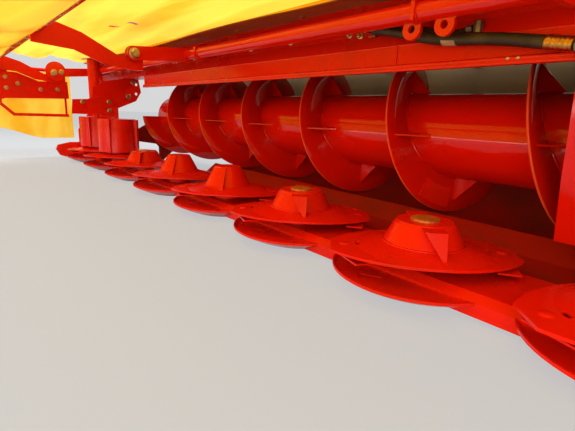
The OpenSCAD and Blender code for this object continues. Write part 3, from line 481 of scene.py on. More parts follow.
# %% Front tarp
SEAM_Y, FOLD_Y, FOLD_END_Y = 0.025, -0.281, -0.293
RAIL_Y, CURTAIN_Y, CURTAIN_LOW = -0.930, -0.9575, 0.230
COVER_HALF, TARP_HALF = 1.784, 1.834
PIVOT_XS = (-1.758, -0.193, 1.370)  # of the guard's three arms
GEARBOX_X, DRIVE_HOLE = -1.5138, 0.058
BEND = [unit(0, SEAM_Y, 0.670), unit(0, FOLD_Y, 0.6735), unit(0, FOLD_END_Y, 0.6755),
        unit(0, -0.40, 0.6815), unit(0, RAIL_Y - 0.012, 0.6825), unit(0, RAIL_Y - 0.024, 0.674),
        unit(0, CURTAIN_Y, 0.655), unit(0, CURTAIN_Y, CURTAIN_LOW)]


def tarp_x(u, ahead):
    """How far to the side a point lies. The tarp is wider over the guard than over the mower."""
    return (2 * u - 1) * (COVER_HALF + (TARP_HALF - COVER_HALF) * smooth(ahead, 0.22, 0.29))


def front_tarp_at(u, v):
    place = follow(BEND, v)
    local = place - UNIT_ORIGIN
    ahead = -local.y
    x = tarp_x(u, ahead)
    # Folds fade out at the seam and at the rail, and lie flat round the slots for the arms.
    free = smooth(ahead, -0.02, 0.06) * (1 - smooth(ahead, 0.84, 0.92))
    clear = 1 - smooth(ahead, 0.21, 0.265) * (1 - smooth(ahead, 0.305, 0.36))
    run = local.y * 23 + 0.9 * math.sin(x * 1.1 + 0.4) + 0.5 * math.sin(x * 3.1)
    fold = 0.0085 * math.sin(run) + 0.0045 * math.sin(2.3 * run + 2.6 * x) + 0.012
    # The curtain is free at its foot and flares there.
    hang = smooth(0.62 - local.z, 0, 0.35)
    flare = hang * (0.010 * math.sin(x * 5.1 + 0.8) + 0.005 * math.sin(x * 12.3))
    return Vector((UNIT_ORIGIN.x + x, place.y + flare, place.z + fold * free * clear))


def front_tarp_kept(u, v):
    local = follow(BEND, v) - UNIT_ORIGIN
    x = tarp_x(u, -local.y)
    slot = -0.279 < local.y < -0.171 and any(-0.030 < x - pivot < 0.010 for pivot in PIVOT_XS)
    drive = math.hypot(x - GEARBOX_X, local.y) < DRIVE_HOLE
    return not (slot or drive)


front_tarp = new_piece("front_tarp", None, yellow_tarp, cloth(360, 130, front_tarp_at, keep=front_tarp_kept))
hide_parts("cover_tarp", "guard_tarp")
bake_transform(front_tarp)

# %% [markdown]
# ## Lower layer and ends of the front tarp
#
# The tarp goes round the guard's front part like a sleeve: a second layer is
# hooked to the flat bar behind and hides the outriggers from below. It bags a
# little between its edges. Its rear edge is cut away round each arm, and a flap
# closes either end.

# %% Lower layer
UNDER_BACK, UNDER_FRONT, UNDER_Z = -0.528, -0.950, 0.6195
END_LOW, END_HIGH = 0.616, 0.680


def under_y(share):
    """How far forward a point of the lower layer lies, from the flat bar to the rail."""
    return UNDER_BACK + (UNDER_FRONT - UNDER_BACK) * share


def under_tarp_at(u, v):
    x = (2 * u - 1) * TARP_HALF
    bag = 0.034 * math.sin(math.pi * min(max(v, 0), 1)) * (1 + 0.45 * math.sin(2.9 * x + 0.6))
    run = 11 * v + 1.9 * math.sin(2.6 * x)
    fold = 0.008 * math.sin(run) + 0.004 * math.sin(2.3 * run + 5 * x)
    return unit(x, under_y(v), UNDER_Z - bag - (fold + 0.008) * smooth(v, 0, 0.12) * (1 - smooth(v, 0.9, 1)))


def under_tarp_kept(u, v):
    x = (2 * u - 1) * TARP_HALF
    return not (under_y(v) > -0.563 and any(-0.024 < x - pivot < 0.004 for pivot in PIVOT_XS))


under_tarp = new_piece("under_tarp", "front_guard", inner_tarp,
                       cloth(300, 40, under_tarp_at, keep=under_tarp_kept))
for side, name in SIDES:
    def end_at(u, v, side=side):
        x = side * (TARP_HALF - 0.004 + 0.003 * math.sin(9 * u + 2))
        sag = 0.012 * math.sin(math.pi * u) * (1 - v)
        return unit(x, under_y(u), END_LOW + (END_HIGH - END_LOW) * v - sag)
    flap = new_piece("tarp_end_" + name, "front_guard", yellow_tarp, cloth(40, 8, end_at))
print("lower layer and ends hung")

# %% [markdown]
# ## Seam and eyelets of the front tarp
#
# A seam strip lies under the tarp's rear edge. Pressed eyelets take the hooks
# that hold the lower layer to the flat bar, and a second row runs along the top
# of the curtain.

# %% Seam and eyelets
SEAM_WIDTH = 0.036


def seam_at(u, v):
    return unit((2 * u - 1) * COVER_HALF, SEAM_Y - 0.006 + SEAM_WIDTH * (v - 0.5), 0.6672)


seam_strip = new_piece("seam_strip", "unit", yellow_tarp, cloth(160, 6, seam_at, thick=0.0022))
eyelets = ([], [])
for k in range(19):
    x = -1.74 + k * 3.48 / 18
    if all(abs(x - pivot + 0.010) > 0.04 for pivot in PIVOT_XS):
        turned(eyelets, unit(x, UNDER_BACK - 0.014, 0.6125), UP,
               [(0.007, 0.002), (0.0115, 0.0015), (0.0115, 0.004), (0.007, 0.0046)], 16)
for k in range(25):
    x = -1.78 + k * 3.56 / 24
    turned(eyelets, unit(x, CURTAIN_Y - 0.0035, 0.60), FRONT,
           [(0.012, -0.002), (0.013, 0.0015), (0.009, 0.0026)], 16)
new_piece("tarp_eyelets", "front_guard", zinc_plate, eyelets)
print("seam strip, and eyelets of", len(eyelets[1]), "faces")

# %% [markdown]
# ## Brown apron
#
# Between the yellow tarp and the beam lies a strip of brown cloth. Its brown is
# painted shade: the strip stands for the tarp where no light comes through it.
# A few rivets hold it along its middle. Its loose front edge was cut by hand, so
# it wanders under the hem of the tarp, and it bags between the rivets.

# %% Apron
APRON_HALF, APRON_EDGE, APRON_BACK, APRON_Z = 1.785, 0.022, 0.122, 0.6685
APRON_RIVETS = 10


def apron_at(u, v):
    x = (2 * u - 1) * APRON_HALF
    front = APRON_EDGE - 0.020 - 0.014 * math.sin(4.4 * x + 0.9) - 0.005 * math.sin(9.7 * x)
    y = front + (APRON_BACK - front) * v
    bag = 0.005 * math.sin(math.pi * v) * (1 + math.sin(5.2 * x)) + 0.0015 * math.sin(11 * x + 4 * v)
    return unit(x, y, APRON_Z - 0.0055 * (1 - smooth(v, 0.1, 0.5)) - bag)


def apron_kept(u, v):
    x = (2 * u - 1) * APRON_HALF
    return math.hypot(x - GEARBOX_X, apron_at(u, v).y - UNIT_ORIGIN.y) > DRIVE_HOLE


apron = new_piece("apron", "unit", shade_brown_apron, cloth(320, 12, apron_at, thick=0.003, keep=apron_kept))
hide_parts("top_cover")
rivets = ([], [])
for k in range(APRON_RIVETS):
    turned(rivets, apron_at((k + 0.5) / APRON_RIVETS, 0.55) - Vector((0, 0, 0.001)), DOWN,
           [(0.010, -0.001), (0.010, 0.002), (0.0065, 0.005), (0.002, 0.006)], 18)
new_piece("apron_rivets", "unit", zinc_plate, rivets)
print("apron and", APRON_RIVETS, "rivets")

# %% [markdown]
# ## Side tarps
#
# Each side guard carries a short yellow tarp that hangs outside its frame. Its
# lower edge is cut on a slope, and it billows a little away from the frame.

# %% Side tarps
SIDE_TARP_X, SIDE_TARP_TOP = 1.8915, 0.590


def side_tarp_at(side):
    def at(u, v):
        y = -0.558 + 0.486 * u
        low = 0.206 - 0.072 * smooth(u, 0, 0.62)
        z = SIDE_TARP_TOP + (low - SIDE_TARP_TOP) * v
        wave = 0.003 * math.sin(16 * u + 1) * v + 0.002 * math.sin(7 * v + 3 * u)
        return unit(side * (SIDE_TARP_X + wave), y, z)
    return at


for side, name in SIDES:
    tarp = new_piece("side_cloth_" + name, "side_guard_" + name, yellow_tarp,
                     cloth(60, 50, side_tarp_at(side)))
    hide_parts("side_tarp_" + name)
print("side tarps hung")

# %% [markdown]
# ## Rear flap
#
# Behind the auger a curtain of stiff, dusty cloth keeps stones in. It hangs from
# a rod in three sleeves, so the rod and the straps that go round it are pieces of
# their own, and only the cloth below them waves.

# %% Rear flap
FLAP_LEFT, FLAP_RIGHT, FLAP_Y, FLAP_Z, FLAP_LOW = -1.150, 1.786, 0.705, 0.624, 0.112
FLAP_WIDTH = FLAP_RIGHT - FLAP_LEFT
STRAP_XS = (-0.740, -0.390, 0.360, 0.760, 1.326)


def flap_at(u, v):
    x = FLAP_LEFT + 0.001 + (FLAP_WIDTH - 0.002) * u
    belly = (0.012 * math.sin(math.pi * min(v * 1.05, 1)) + 0.004 * math.sin(13 * x) * v
             + 0.002 * math.sin(31 * x + 2) * v)
    return unit(x, FLAP_Y + belly, FLAP_Z - 0.024 + (FLAP_LOW - FLAP_Z + 0.024) * v)


flap_cloth = new_piece("flap_cloth", "rear_flap", beige_flap, cloth(240, 40, flap_at, thick=0.003))
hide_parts("rear_flap")
turned_piece("flap_rod", "rear_flap", zinc_plate, [
    (unit(FLAP_LEFT, FLAP_Y, FLAP_Z), RIGHT,
     [(0.007, 0), (0.010, 0.003), (0.010, FLAP_WIDTH - 0.003), (0.007, FLAP_WIDTH)], 24)])
strap_path = ([unit(0, FLAP_Y + 0.0125, FLAP_Z - 0.060)]
              + arc(unit(0, FLAP_Y, FLAP_Z), 0.0125, 0, 180, 16)
              + [unit(0, FLAP_Y - 0.0035, FLAP_Z - 0.060)])
straps = ([], [])
for strap_x in STRAP_XS:
    def strap_at(u, v, strap_x=strap_x):
        return follow(strap_path, v) + Vector((strap_x + 0.028 * u, 0, 0))
    points, faces = cloth(3, 40, strap_at, thick=0.002)
    faces = [tuple(k + len(straps[0]) for k in face) for face in faces]
    straps[0].extend(points)
    straps[1].extend(faces)
new_piece("flap_straps", "rear_flap", webbing, straps)
print("rear flap, its rod and", len(STRAP_XS), "straps")

# %% [markdown]
# ## Hydraulic hose
#
# A hose runs under the hinge tube, from a clip on the beam to a port on its
# channel. It is held at both ends and sags between them. The path is the one
# that the CAD model follows, rounded through more points. Its crimped ferrule
# has grooves, a hexagon nut screws it to the port, and a pale band is printed
# on it.

# %% Hose
HOSE_RADIUS = 0.013
HOSE_ROUTE = [(0.812, 0.086, 0.592), (0.850, 0.086, 0.586), (0.890, 0.085, 0.577), (0.940, 0.084, 0.564),
              (1.000, 0.084, 0.550), (1.060, 0.084, 0.543), (1.120, 0.084, 0.538), (1.180, 0.084, 0.530),
              (1.243, 0.084, 0.519)]
CRIMPS, CRIMP_PITCH = 5, 0.008
CRIMP = ((0.0148, 0.004), (0.0140, 0.0055), (0.0140, 0.0065), (0.0148, 0.008))


def rounded(route, steps):
    """A smooth line through the route's points (Catmull-Rom)."""
    knots = [unit(*p) for p in route]
    knots = [2 * knots[0] - knots[1]] + knots + [2 * knots[-1] - knots[-2]]
    line = []
    for a, b, c, d in zip(knots, knots[1:], knots[2:], knots[3:]):
        for k in range(steps):
            t = k / steps
            line.append(0.5 * (2 * b + (c - a) * t + (2 * a - 5 * b + 4 * c - d) * t * t
                               + (3 * b - a - 3 * c + d) * t ** 3))
    return line + [knots[-2]]


def hose_along(name, route, radius, sides):
    """A hose along a route, with its line and its length."""
    line = rounded(route, 8)
    shape = ([], [])
    swept(shape, line, radius, sides)
    return new_piece(name, "unit", hose_rubber, shape), line, length_of(line)


hose, hose_line, hose_length = hose_along("hydraulic_hose", HOSE_ROUTE, HOSE_RADIUS, 24)
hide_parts("hose", "hose_ends")
tip = unit(*HOSE_ROUTE[-1])
aim = Vector((0.985, 0, -0.172)).normalized()
ferrule = [(0.0135, -0.004), (0.0148, -0.002)]
for k in range(CRIMPS):
    ferrule += [(radius, height + k * CRIMP_PITCH) for radius, height in CRIMP]
ferrule += [(0.0148, 0.045), (0.012, 0.047)]
turned_piece("hose_ferrule", "unit", brass_zinc, [(tip, aim, ferrule, 28)])
turned_piece("hose_fitting", "unit", dull_zinc, [
    (tip + aim * 0.046, aim, [(0.0095, 0), (0.0095, 0.006)], 20),
    (tip + aim * 0.050, aim, [(0.0145, 0), (0.0155, 0.002), (0.0155, 0.017), (0.0145, 0.019)], 6),
    (tip + aim * 0.066, aim,
     [(0.012, 0), (0.012, 0.006), (0.0165, 0.007), (0.0165, 0.030), (0.015, 0.032)], 24),
    (tip + aim * 0.086, BACK, [(0.013, -0.002), (0.013, 0.019)], 24),
    (unit(0.796, 0.090, 0.592), BACK,
     [(0.005, -0.022), (0.0075, -0.021), (0.0075, -0.016), (0.006, -0.014), (0.006, 0.033)], 14)])
clip_path = arc(unit(0.808, 0.086, 0.592), 0.0160, -100, 200, 26)


def clip_at(u, v):
    return follow(clip_path, v) + Vector((0.022 * (u - 0.5), 0, 0))


def band_at(u, v):
    middle = unit(1.021 + 0.034 * u, 0.084, 0.5468 - 0.0038 * u)
    angle = math.radians(-165 + 150 * v)
    return middle + Vector((0, math.cos(angle), math.sin(angle))) * (HOSE_RADIUS + 0.0006)


new_piece("hose_clip", "unit", zinc_plate, cloth(4, 40, clip_at, thick=0.004))
new_piece("hose_band", "unit", pale_print, cloth(6, 16, band_at, thick=0.001))
print("hose:", round(hose_length, 3), "m")

# %% [markdown]
# ## Auger flighting
#
# The flighting is a strip of plate wound round the tube and welded on. The CAD
# solid steps round it in 32 flats a turn. Here the same helix gets four times as
# many steps, so that its outline is round, and an edge that the crop has worn.

# %% Auger flighting
AUGER_Y, AUGER_Z, TUBE_R, FLIGHT_R, FLIGHT_T = 0.414, 0.321, 0.128, 0.236, 0.006
FLIGHT_FROM, FLIGHT_PITCH, FLIGHT_TURNS = -1.140, 0.390, 237 / 32
TURN_STEPS, FLIGHT_MIDDLE, EDGE_ROUND = 128, 0.180, 0.0015


def on_helix(x, radius, start=FLIGHT_FROM):
    """A point of the helix whose front crossing is a quarter turn from the start."""
    angle = math.radians(90) + 2 * math.pi * (x - start) / FLIGHT_PITCH
    return unit(x, AUGER_Y - radius * math.sin(angle), AUGER_Z + radius * math.cos(angle))


# The blade's section, as pairs of a radius and an offset along the shaft.
blade_ring = [(TUBE_R - 0.002, 0), (FLIGHT_MIDDLE, 0), (FLIGHT_R - EDGE_ROUND, 0), (FLIGHT_R, EDGE_ROUND),
              (FLIGHT_R, FLIGHT_T - EDGE_ROUND), (FLIGHT_R - EDGE_ROUND, FLIGHT_T),
              (FLIGHT_MIDDLE, FLIGHT_T), (TUBE_R - 0.002, FLIGHT_T)]
WORN_FACES = (2, 3, 4)  # of the section, at its outer edge
blade = ([], [])
blade_steps = int(FLIGHT_TURNS * TURN_STEPS)
for k in range(blade_steps + 1):
    x = FLIGHT_FROM + FLIGHT_PITCH * k / TURN_STEPS
    for radius, offset in blade_ring:
        blade[0].append(on_helix(x, radius) + Vector((offset, 0, 0)))
ring = len(blade_ring)
for k in range(blade_steps):
    for j in range(ring):
        a, b = k * ring + j, k * ring + (j + 1) % ring
        blade[1].append((a, a + ring, b + ring, b))
blade[1].append(tuple(range(ring)))
blade[1].append(tuple(blade_steps * ring + j for j in reversed(range(ring))))
auger_blade = new_piece("auger_blade", "auger", auger_coat, blade, sharp=50)
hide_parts("auger_flight")
worn_edge = powder_coat("worn_flight_edge", "DA4424", "B4502C", 0.32, 0.15)
auger_blade.data.materials.append(worn_edge)
for number in range(blade_steps * ring):
    if number % ring in WORN_FACES:
        auger_blade.data.polygons[number].material_index = 1
print("flighting:", len(auger_blade.data.polygons), "faces")

# %% [markdown]
# ## Welds, rivets and wear plates of the auger
#
# Short stitch welds hold the flighting on either side, and the gussets behind it.
# Each bead is a thin rod whose radius ripples, half sunk in the joint. Two bolted
# plates mend the blade where stones have struck it. They are cut from the same
# helix as the blade.

# %% Auger welds
STITCHES_A_TURN, GUSSETS = 6, 28
WEAR_PLATES = (("rim", 0.8208, 0.8325, 0.196, 0.2355), ("foot", 0.868, 0.901, 0.160, 0.222))
welds = ([], [])
for turn in range(int(FLIGHT_TURNS * STITCHES_A_TURN)):
    for offset in (-0.001, FLIGHT_T + 0.001):
        begin = FLIGHT_FROM + 0.01 + turn * FLIGHT_PITCH / STITCHES_A_TURN
        path = [on_helix(begin + 0.030 * k / 24, TUBE_R + 0.001) + Vector((offset, 0, 0)) for k in range(25)]
        swept(welds, path, 0.0042, 7, ripple=0.22)
for k in range(1, GUSSETS + 1):
    base_x = FLIGHT_FROM + k * FLIGHT_PITCH / 4 + FLIGHT_T - 0.003
    angle = math.radians(90 + 90 * k)
    out = Vector((0, -math.sin(angle), math.cos(angle)))
    for offset in (-0.003, 0.003):
        lean = Vector((0, -math.cos(angle), -math.sin(angle))) * offset
        root = unit(base_x, AUGER_Y, AUGER_Z) + out * (TUBE_R + 0.0005) + lean
        path = [root + Vector((0.006 + 0.066 * t / 16, 0, 0)) for t in range(17)]
        swept(welds, path, 0.0028, 6, ripple=0.2)
new_piece("auger_welds", "auger", auger_coat, welds, sharp=60)
for name, begin, end, low, high in WEAR_PLATES:
    def patch_at(u, v, begin=begin, end=end, low=low, high=high):
        return on_helix(begin + (end - begin) * u, low + (high - low) * v) + Vector((FLIGHT_T + 0.0012, 0, 0))
    new_piece("wear_plate_" + name, "auger", red_coat, cloth(14, 6, patch_at, thick=0.004), sharp=30)
auger_rivets = ([], [])
for x in (0.936, 0.546, 0.156, -0.234):
    centre = on_helix(x, 0.1325, start=x - 0.02 * FLIGHT_PITCH)
    out = (centre - unit(x, AUGER_Y, AUGER_Z)).normalized()
    turned(auger_rivets, centre - out * 0.005, out, [(0.005, 0), (0.005, 0.0015), (0.003, 0.003)], 12)
for x, radius in ((0.8235, 0.206), (0.8295, 0.206), (0.8235, 0.227), (0.8295, 0.227)):
    turned(auger_rivets, on_helix(x, radius) + Vector((FLIGHT_T + 0.0025, 0, 0)), RIGHT,
           [(0.0045, 0), (0.0045, 0.0012), (0.002, 0.0024)], 10)
new_piece("auger_rivets", "auger", red_coat, auger_rivets)
print("welds:", len(welds[1]), "faces, wear plates:", len(WEAR_PLATES))

# %% [markdown]
# ## Hub caps, bosses and welds of the discs
#
# A bronze-brown cap closes each low hub. Over each knife bolt the disc is pressed
# up into a low boss, painted like the rest. Round the foot of each dome runs a
# weld. Small parts of a disc spin with it.

# %% Disc trim
DISCS, DISC_PITCH, DISC_TURN = 8, 0.4325, math.radians(46)
KNIFE_REACH, BOSS_Z, CAP_Z, WELD_Z = 0.177, 0.0795, 0.146, 0.0975
LOW_CAPS = (1, 2, 3, 6)
LAST_DOME = 6  # discs 7 and 8 carry the drums
BOSS = [(0.0125, -0.002), (0.0125, 0.0008), (0.0105, 0.0024), (0.0040, 0.0030)]
CAP = [(0.0325, 0), (0.0325, 0.0045), (0.0295, 0.0060), (0.0290, 0.0062), (0.0250, 0.0058),
       (0.0180, 0.0064), (0.006, 0.0068)]
long_way = Vector((math.cos(DISC_TURN), math.sin(DISC_TURN), 0))
for number in range(1, DISCS + 1):
    centre_x = DISC_PITCH * (4.5 - number)
    body = "disc_%d" % number
    turned_piece("knife_bosses_%d" % number, body, red_coat, [
        (unit(centre_x, 0, BOSS_Z) + long_way * KNIFE_REACH * sign, UP, BOSS, 28) for sign in (-1, 1)])
    if number in LOW_CAPS:
        turned_piece("hub_cap_%d" % number, body, bronze, [(unit(centre_x, 0, CAP_Z), UP, CAP, 40)])
    if number <= LAST_DOME:
        seam = ([], [])
        foot = 0.0915 if number in LOW_CAPS else 0.0885
        ring = arc(unit(centre_x, 0, WELD_Z), foot, 0, 358, 180, RIGHT, BACK)
        swept(seam, ring, 0.0026, 6, ripple=0.18, closed=True)
        new_piece("cap_weld_%d" % number, body, red_coat, seam, sharp=60)
print("disc trim on", DISCS, "discs")

# %% [markdown]
# ## Bolts on the frame
#
# The beam, the hinge ears and the guides are bolted with zinc-plated hexagon
# bolts of 19 to 30 mm across the flats. Two studs and two rivets sit by the hose.

# %% Frame bolts
BEAM_FACE_Y, GUIDE_FACE_X = 0.123, -1.3375
STUD = [(0.009, 0), (0.009, 0.002), (0.005, 0.003), (0.005, 0.012), (0.003, 0.013)]
RIVET = [(0.0035, -0.004), (0.0035, 0.001), (0.002, 0.002)]
frame_bolts = ([], [])
for pivot in PIVOT_XS:
    hex_bolt(frame_bolts, unit(pivot + 0.012, -0.196, 0.582), RIGHT, 0.030, 0.2)
hex_bolt(frame_bolts, unit(-1.746, -0.150, 0.590), RIGHT, 0.024, 0.4)
for x in (-0.739, -0.523, -0.489, -0.296, 0.180, 0.420, 1.520):
    hex_bolt(frame_bolts, unit(x, BEAM_FACE_Y, 0.612), FRONT, 0.024, 0.3 * x)
for x in (-1.52, -1.36, -1.20, -1.04):
    hex_bolt(frame_bolts, unit(x, BEAM_FACE_Y, 0.600), FRONT, 0.024, x)
for y, z in ((0.196, 0.535), (0.160, 0.440)):
    hex_bolt(frame_bolts, unit(GUIDE_FACE_X, y, z), RIGHT, 0.024, y)
for y, z in ((-0.130, 0.395), (0.030, 0.400), (0.030, 0.345)):
    hex_bolt(frame_bolts, unit(GUIDE_FACE_X + 0.0085, y, z), RIGHT, 0.019, y)
for x, z in ((0.692, 0.597), (0.733, 0.590)):
    turned(frame_bolts, unit(x, BEAM_FACE_Y, z), FRONT, STUD, 16)
for x in (1.166, 1.186):
    turned(frame_bolts, unit(x, 0.0955, 0.497), FRONT, RIVET, 12)
new_piece("frame_bolts", "unit", zinc_plate, frame_bolts)
for side, name in SIDES:
    plate_bolts = ([], [])
    for y, z in ((-0.401, 0.501), (-0.267, 0.470), (-0.161, 0.477), (-0.470, 0.470), (-0.470, 0.540)):
        hex_bolt(plate_bolts, unit(side * 1.862, y, z), (-side, 0, 0), 0.019, y)
        hex_bolt(plate_bolts, unit(side * 1.870, y, z), (side, 0, 0), 0.019, z)
    new_piece("side_guard_bolts_" + name, "side_guard_" + name, zinc_plate, plate_bolts)
print("frame bolts:", len(frame_bolts[1]), "faces")

# %% [markdown]
# ## Weld beads on the frame
#
# The hinge tube's ears and brackets are welded all round. A bead at each joint
# is a small thing, but it catches a highlight just where two plates meet.

# %% Frame welds
TUBE_Y, TUBE_Z, HINGE_R = 0.045, 0.604, 0.023
beads = ([], [])


def bead(path, radius=0.0030):
    """One weld bead on the frame."""
    swept(beads, path, radius, 6, ripple=0.2)


def round_tube(x, start, end, steps):
    """An arc on the hinge tube, between two angles in degrees."""
    return arc(unit(x, TUBE_Y, TUBE_Z), HINGE_R + 0.0008, start, end, steps)


for pivot in PIVOT_XS:
    for x in (pivot - 0.001, pivot + 0.013):
        bead(round_tube(x, -150, 150, 60))
for x in (-1.650, -0.880, -0.090, 0.970, 1.650):
    for offset in (-0.0008, 0.0108):
        bead(round_tube(x + offset, 200, 330, 40))
        bead([unit(x + offset, 0.1225, 0.594 + 0.052 * k / 20) for k in range(21)])
bead([unit(0.878, 0.104, 0.487 + 0.062 * k / 30) for k in range(31)], 0.0024)
new_piece("frame_welds", "unit", red_coat, beads, sharp=60)
print("frame welds:", len(beads[1]), "faces")

# %% [markdown]
# ## Rounded bends of the beam's channel
#
# The channel is folded from 5 mm sheet. Each fold has a radius of a few
# millimetres, and in the photograph it is the rounded fold that shines. A CAD fold
# is sharp, so a thin round rod is sunk along each one.

# %% Rounded bends
FOLDS = ((0.1080, 0.5490, 0.0036), (0.0985, 0.4965, 0.0040), (0.0985, 0.4885, 0.0040))  # y, z, radius
CHANNEL_LEFT, CHANNEL_LENGTH = -0.889, 2.684
bends = ([], [])
for y, z, radius in FOLDS:
    swept(bends, [unit(CHANNEL_LEFT + CHANNEL_LENGTH * k / 8, y, z) for k in range(9)], radius, 14)
new_piece("channel_bends", "unit", tube_coat, bends)
print("bends:", len(FOLDS))

# %% [markdown]
# ## Elbow and thin hose behind the ring lugs
#
# A thin hose comes from behind the tube to a zinc elbow on the beam. Both ends
# are screwed in, so it is a short stiff arch.

# %% Thin hose
THIN_RADIUS = 0.0065
THIN_ROUTE = [(0.822, 0.106, 0.600), (0.860, 0.104, 0.604), (0.900, 0.103, 0.596), (0.950, 0.103, 0.580),
              (1.000, 0.104, 0.566), (1.040, 0.106, 0.562), (1.066, 0.107, 0.566)]
thin_hose, thin_line, thin_length = hose_along("thin_hose", THIN_ROUTE, THIN_RADIUS, 18)
turned_piece("hose_elbow", "unit", dull_zinc, [
    (unit(1.062, 0.1068, 0.5655), (0.985, 0.04, 0.17), [(0.0085, 0), (0.0085, 0.012)], 6),
    (unit(1.087, 0.108, 0.556), UP,
     [(0.0075, -0.014), (0.0075, 0), (0.011, 0.001), (0.011, 0.024), (0.009, 0.026)], 8),
    (unit(1.087, 0.108, 0.570), BACK, [(0.007, 0), (0.007, 0.016)], 16),
    (unit(0.822, 0.106, 0.600), (-0.97, 0.05, -0.2), [(0.0085, -0.002), (0.0085, 0.012), (0.006, 0.014)], 6),
    (unit(0.812, 0.107, 0.5985), BACK, [(0.006, 0), (0.006, 0.0165)], 16)])
print("thin hose:", round(thin_length, 3), "m")

# %% [markdown]
# ## Pins, nuts and bolts of the gearbox, boom and hitch
#
# The large pins have a washer and a nut at either end. The gearbox is cast and
# its cover is screwed on with a ring of small bolts.

# %% Boom and hitch trim
LIFT_X, LIFT_Z, BOOM_Y = -1.650, 0.950, 0.190
SWING = Vector((LIFT_X - 0.850, -0.850, 0))
HITCH = Vector((SWING.x - 0.413, SWING.y - 0.260, 0.520))
SHAFT_Y, SHAFT_Z = 0.010, 0.800
GEAR_FLATS = 0.017
ROD_WAY = Vector((0.99613, 0, -0.087894))


def pin_ends(name, body, pins):
    """A washer and a nut on either end of each pin. The pins lie along Y."""
    shape = ([], [])
    for centre, reach, flats in pins:
        for sign in (-1, 1):
            hex_bolt(shape, centre + Vector((0, sign * reach, 0)), (0, sign, 0), flats, 0.3)
    new_piece(name, body, zinc_plate, shape)


barrel_foot = unit(LIFT_X - 0.450, BOOM_Y, LIFT_Z + 0.300)
rod_eye = unit(LIFT_X + 1.250, BOOM_Y, LIFT_Z + 0.150)
swing_pin = unit(LIFT_X, BOOM_Y, LIFT_Z)
pin_ends("swing_pins", "swing_frame", [(swing_pin, 0.094, 0.036), (barrel_foot, 0.077, 0.036)])
pin_ends("boom_pins", "boom", [(unit(0, BOOM_Y, 0.730), 0.070, 0.036), (rod_eye, 0.056, 0.030)])
gear_bolts = [((0.076, y, z), RIGHT) for y in (-0.050, 0.070) for z in (0.700, 0.790, 0.880)]
gear_bolts += [((dx, -0.070, z), FRONT) for dx in (-0.056, 0, 0.056) for z in (0.700, 0.880)]
gear_bolts += [((dx, y, 0.902), UP) for dx in (-0.056, 0.056) for y in (-0.050, 0.010, 0.070)]
gear_trim = ([], [])
for (dx, y, z), axis in gear_bolts:
    hex_bolt(gear_trim, unit(GEARBOX_X + dx, y, z), axis, GEAR_FLATS)
new_piece("gearbox_bolts", "unit", zinc_plate, gear_trim)
shaft = [(0.0172, -0.045), (0.0172, 0.0), (0.015, 0.002)]
collar = [(0.040, 0), (0.040, 0.010), (0.034, 0.014), (0.024, 0.015)]
turned_piece("drive_stub", "unit", dull_zinc, [
    (unit(GEARBOX_X - 0.156, SHAFT_Y, SHAFT_Z), LEFT, shaft, 12),
    (unit(GEARBOX_X - 0.076, SHAFT_Y, SHAFT_Z), LEFT, collar, 32)])
hitch_trim = ([], [])
for sign in (-1, 1):
    turned(hitch_trim, unit(HITCH.x + sign * 0.4885, HITCH.y - 0.020, HITCH.z), (sign, 0, 0),
           [(0.0215, -0.004), (0.0215, 0.004)], 28)
    for z in (0.480, 0.555):
        hex_bolt(hitch_trim, unit(HITCH.x + sign * 0.4205, HITCH.y + 0.050, z), (sign, 0, 0), 0.024)
    for z in (1.090, 1.160):
        hex_bolt(hitch_trim, unit(HITCH.x + sign * 0.044, HITCH.y + 0.040, z), (sign, 0, 0), 0.019)
turned(hitch_trim, unit(SWING.x, SWING.y, 1.026), UP, [(0.026, -0.001), (0.026, 0.010), (0.022, 0.013)], 6)
new_piece("hitch_trim", "headstock", zinc_plate, hitch_trim)
turned_piece("barrel_trim", "lift_barrel", red_coat, [
    (barrel_foot + ROD_WAY * 0.885, ROD_WAY, [(0.049, 0), (0.049, 0.035), (0.040, 0.0385)], 36)] + [
    (barrel_foot + ROD_WAY * reach + Vector((0, 0, 0.040)), (0.0879, 0, 0.9961),
     [(0.014, 0), (0.014, 0.016), (0.011, 0.018)], 6) for reach in (0.110, 0.850)])
for leg in ("leg_left", "leg_right"):
    low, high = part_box(leg)
    spot = Vector(((low.x + high.x) / 2 + 0.030, (low.y + high.y) / 2 - 0.009, 0.640))
    turned_piece(leg + "_pin", leg, zinc_plate,
                 [(spot, RIGHT, [(0.009, -0.070), (0.009, 0.010), (0.007, 0.012)], 20)])
print("boom and hitch trim placed")

# %% [markdown]
# ## Floor and light
#
# The mower stands on a plain pale floor. Light that comes through the yellow
# cloth stains a floor orange, so the camera sees the floor's shading mixed with
# an even pale grey, and so do mirror-like metal and glossy paint. Its shadow
# stays. Diffuse light meets a plain mid-grey floor.
# Under its roof of tarps little light comes from above, so a broad low lamp
# stands beside the camera, and two high ones shine down through the cloth. A low
# strip in front of the curtain draws the bright line along the auger's tube.

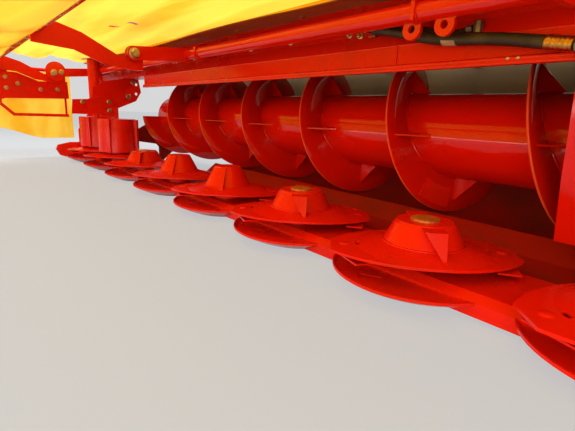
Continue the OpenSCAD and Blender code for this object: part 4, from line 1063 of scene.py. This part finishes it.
# %% Floor
FLOOR_REACH, EVEN_SHARE = 40, 0.70
mesh = bpy.data.meshes.new("floor")
mesh.from_pydata([(FLOOR_REACH * x, FLOOR_REACH * y, 0) for x, y in ((-1, -1), (1, -1), (1, 1), (-1, 1))],
                 [], [(0, 1, 2, 3)])
floor = bpy.data.objects.new("floor", mesh)
bpy.context.scene.collection.objects.link(floor)
material, tree, _, shader = new_material("pale_floor")
set_inputs(tree, shader, {"Base Color": linear("A9AEB2"), "Roughness": 0.75})
even = add_node(tree, "Emission", {"Color": linear("DADCDE"), "Strength": 1.0})
rays = add_node(tree, "LightPath").outputs
direct = add_node(tree, "Math", {0: rays["Is Camera Ray"], 1: rays["Is Glossy Ray"]}, operation="ADD")
seen = add_node(tree, "Math", {0: direct.outputs["Value"], 1: rays["Is Transmission Ray"]}, operation="ADD")
share = add_node(tree, "Math", {0: seen.outputs["Value"], 1: EVEN_SHARE}, operation="MULTIPLY")
both = add_node(tree, "MixShader", {0: share.outputs["Value"], 1: shader.outputs["BSDF"],
                                    2: even.outputs["Emission"]})
set_inputs(tree, tree.nodes["Material Output"], {"Surface": both.outputs["Shader"]})
mesh.materials.append(material)
print("floor:", 2 * FLOOR_REACH, "m wide")


# %% Light
def area_lamp(name, place, target, size, power, colour):
    """A soft lamp that shines from its place at a target. Size is in metres, power in watts."""
    lamp = bpy.data.lights.new(name, "AREA")
    lamp.shape = "RECTANGLE"
    lamp.size, lamp.size_y = size
    lamp.energy = power
    lamp.color = linear(colour)[:3]
    lamp_object = bpy.data.objects.new(name, lamp)
    bpy.context.scene.collection.objects.link(lamp_object)
    lamp_object.visible_camera = False
    lamp_object.matrix_world = (Matrix.Translation(place)
                                @ (target - place).to_track_quat("-Z", "Y").to_matrix().to_4x4())


area_lamp("low_front", unit(2.6, -3.2, 1.0), unit(0.2, 0.1, 0.2), (3.5, 1.6), 110, "FFF4E6")
area_lamp("low_strip", unit(0.9, -1.7, 0.10), unit(0.9, 0.3, 0.30), (4.4, 0.09), 9, "FFF6EE")
area_lamp("high_key", unit(-3.0, -1.6, 4.2), unit(0, -0.2, 0.5), (2.5, 2.5), 330, "FFF8F0")
area_lamp("high_rear", unit(0.5, 3.8, 3.6), unit(0.2, 0, 0.5), (4, 2), 170, "F2F6FF")
world = bpy.data.worlds.new("sky")
bpy.context.scene.world = world
world.use_nodes = True
sky = world.node_tree
set_inputs(sky, sky.nodes["Background"], {"Color": linear("F4F4F4"), "Strength": 0.75})
bpy.context.scene.view_settings.view_transform = "Standard"
print("lamps:", len(bpy.data.lights))
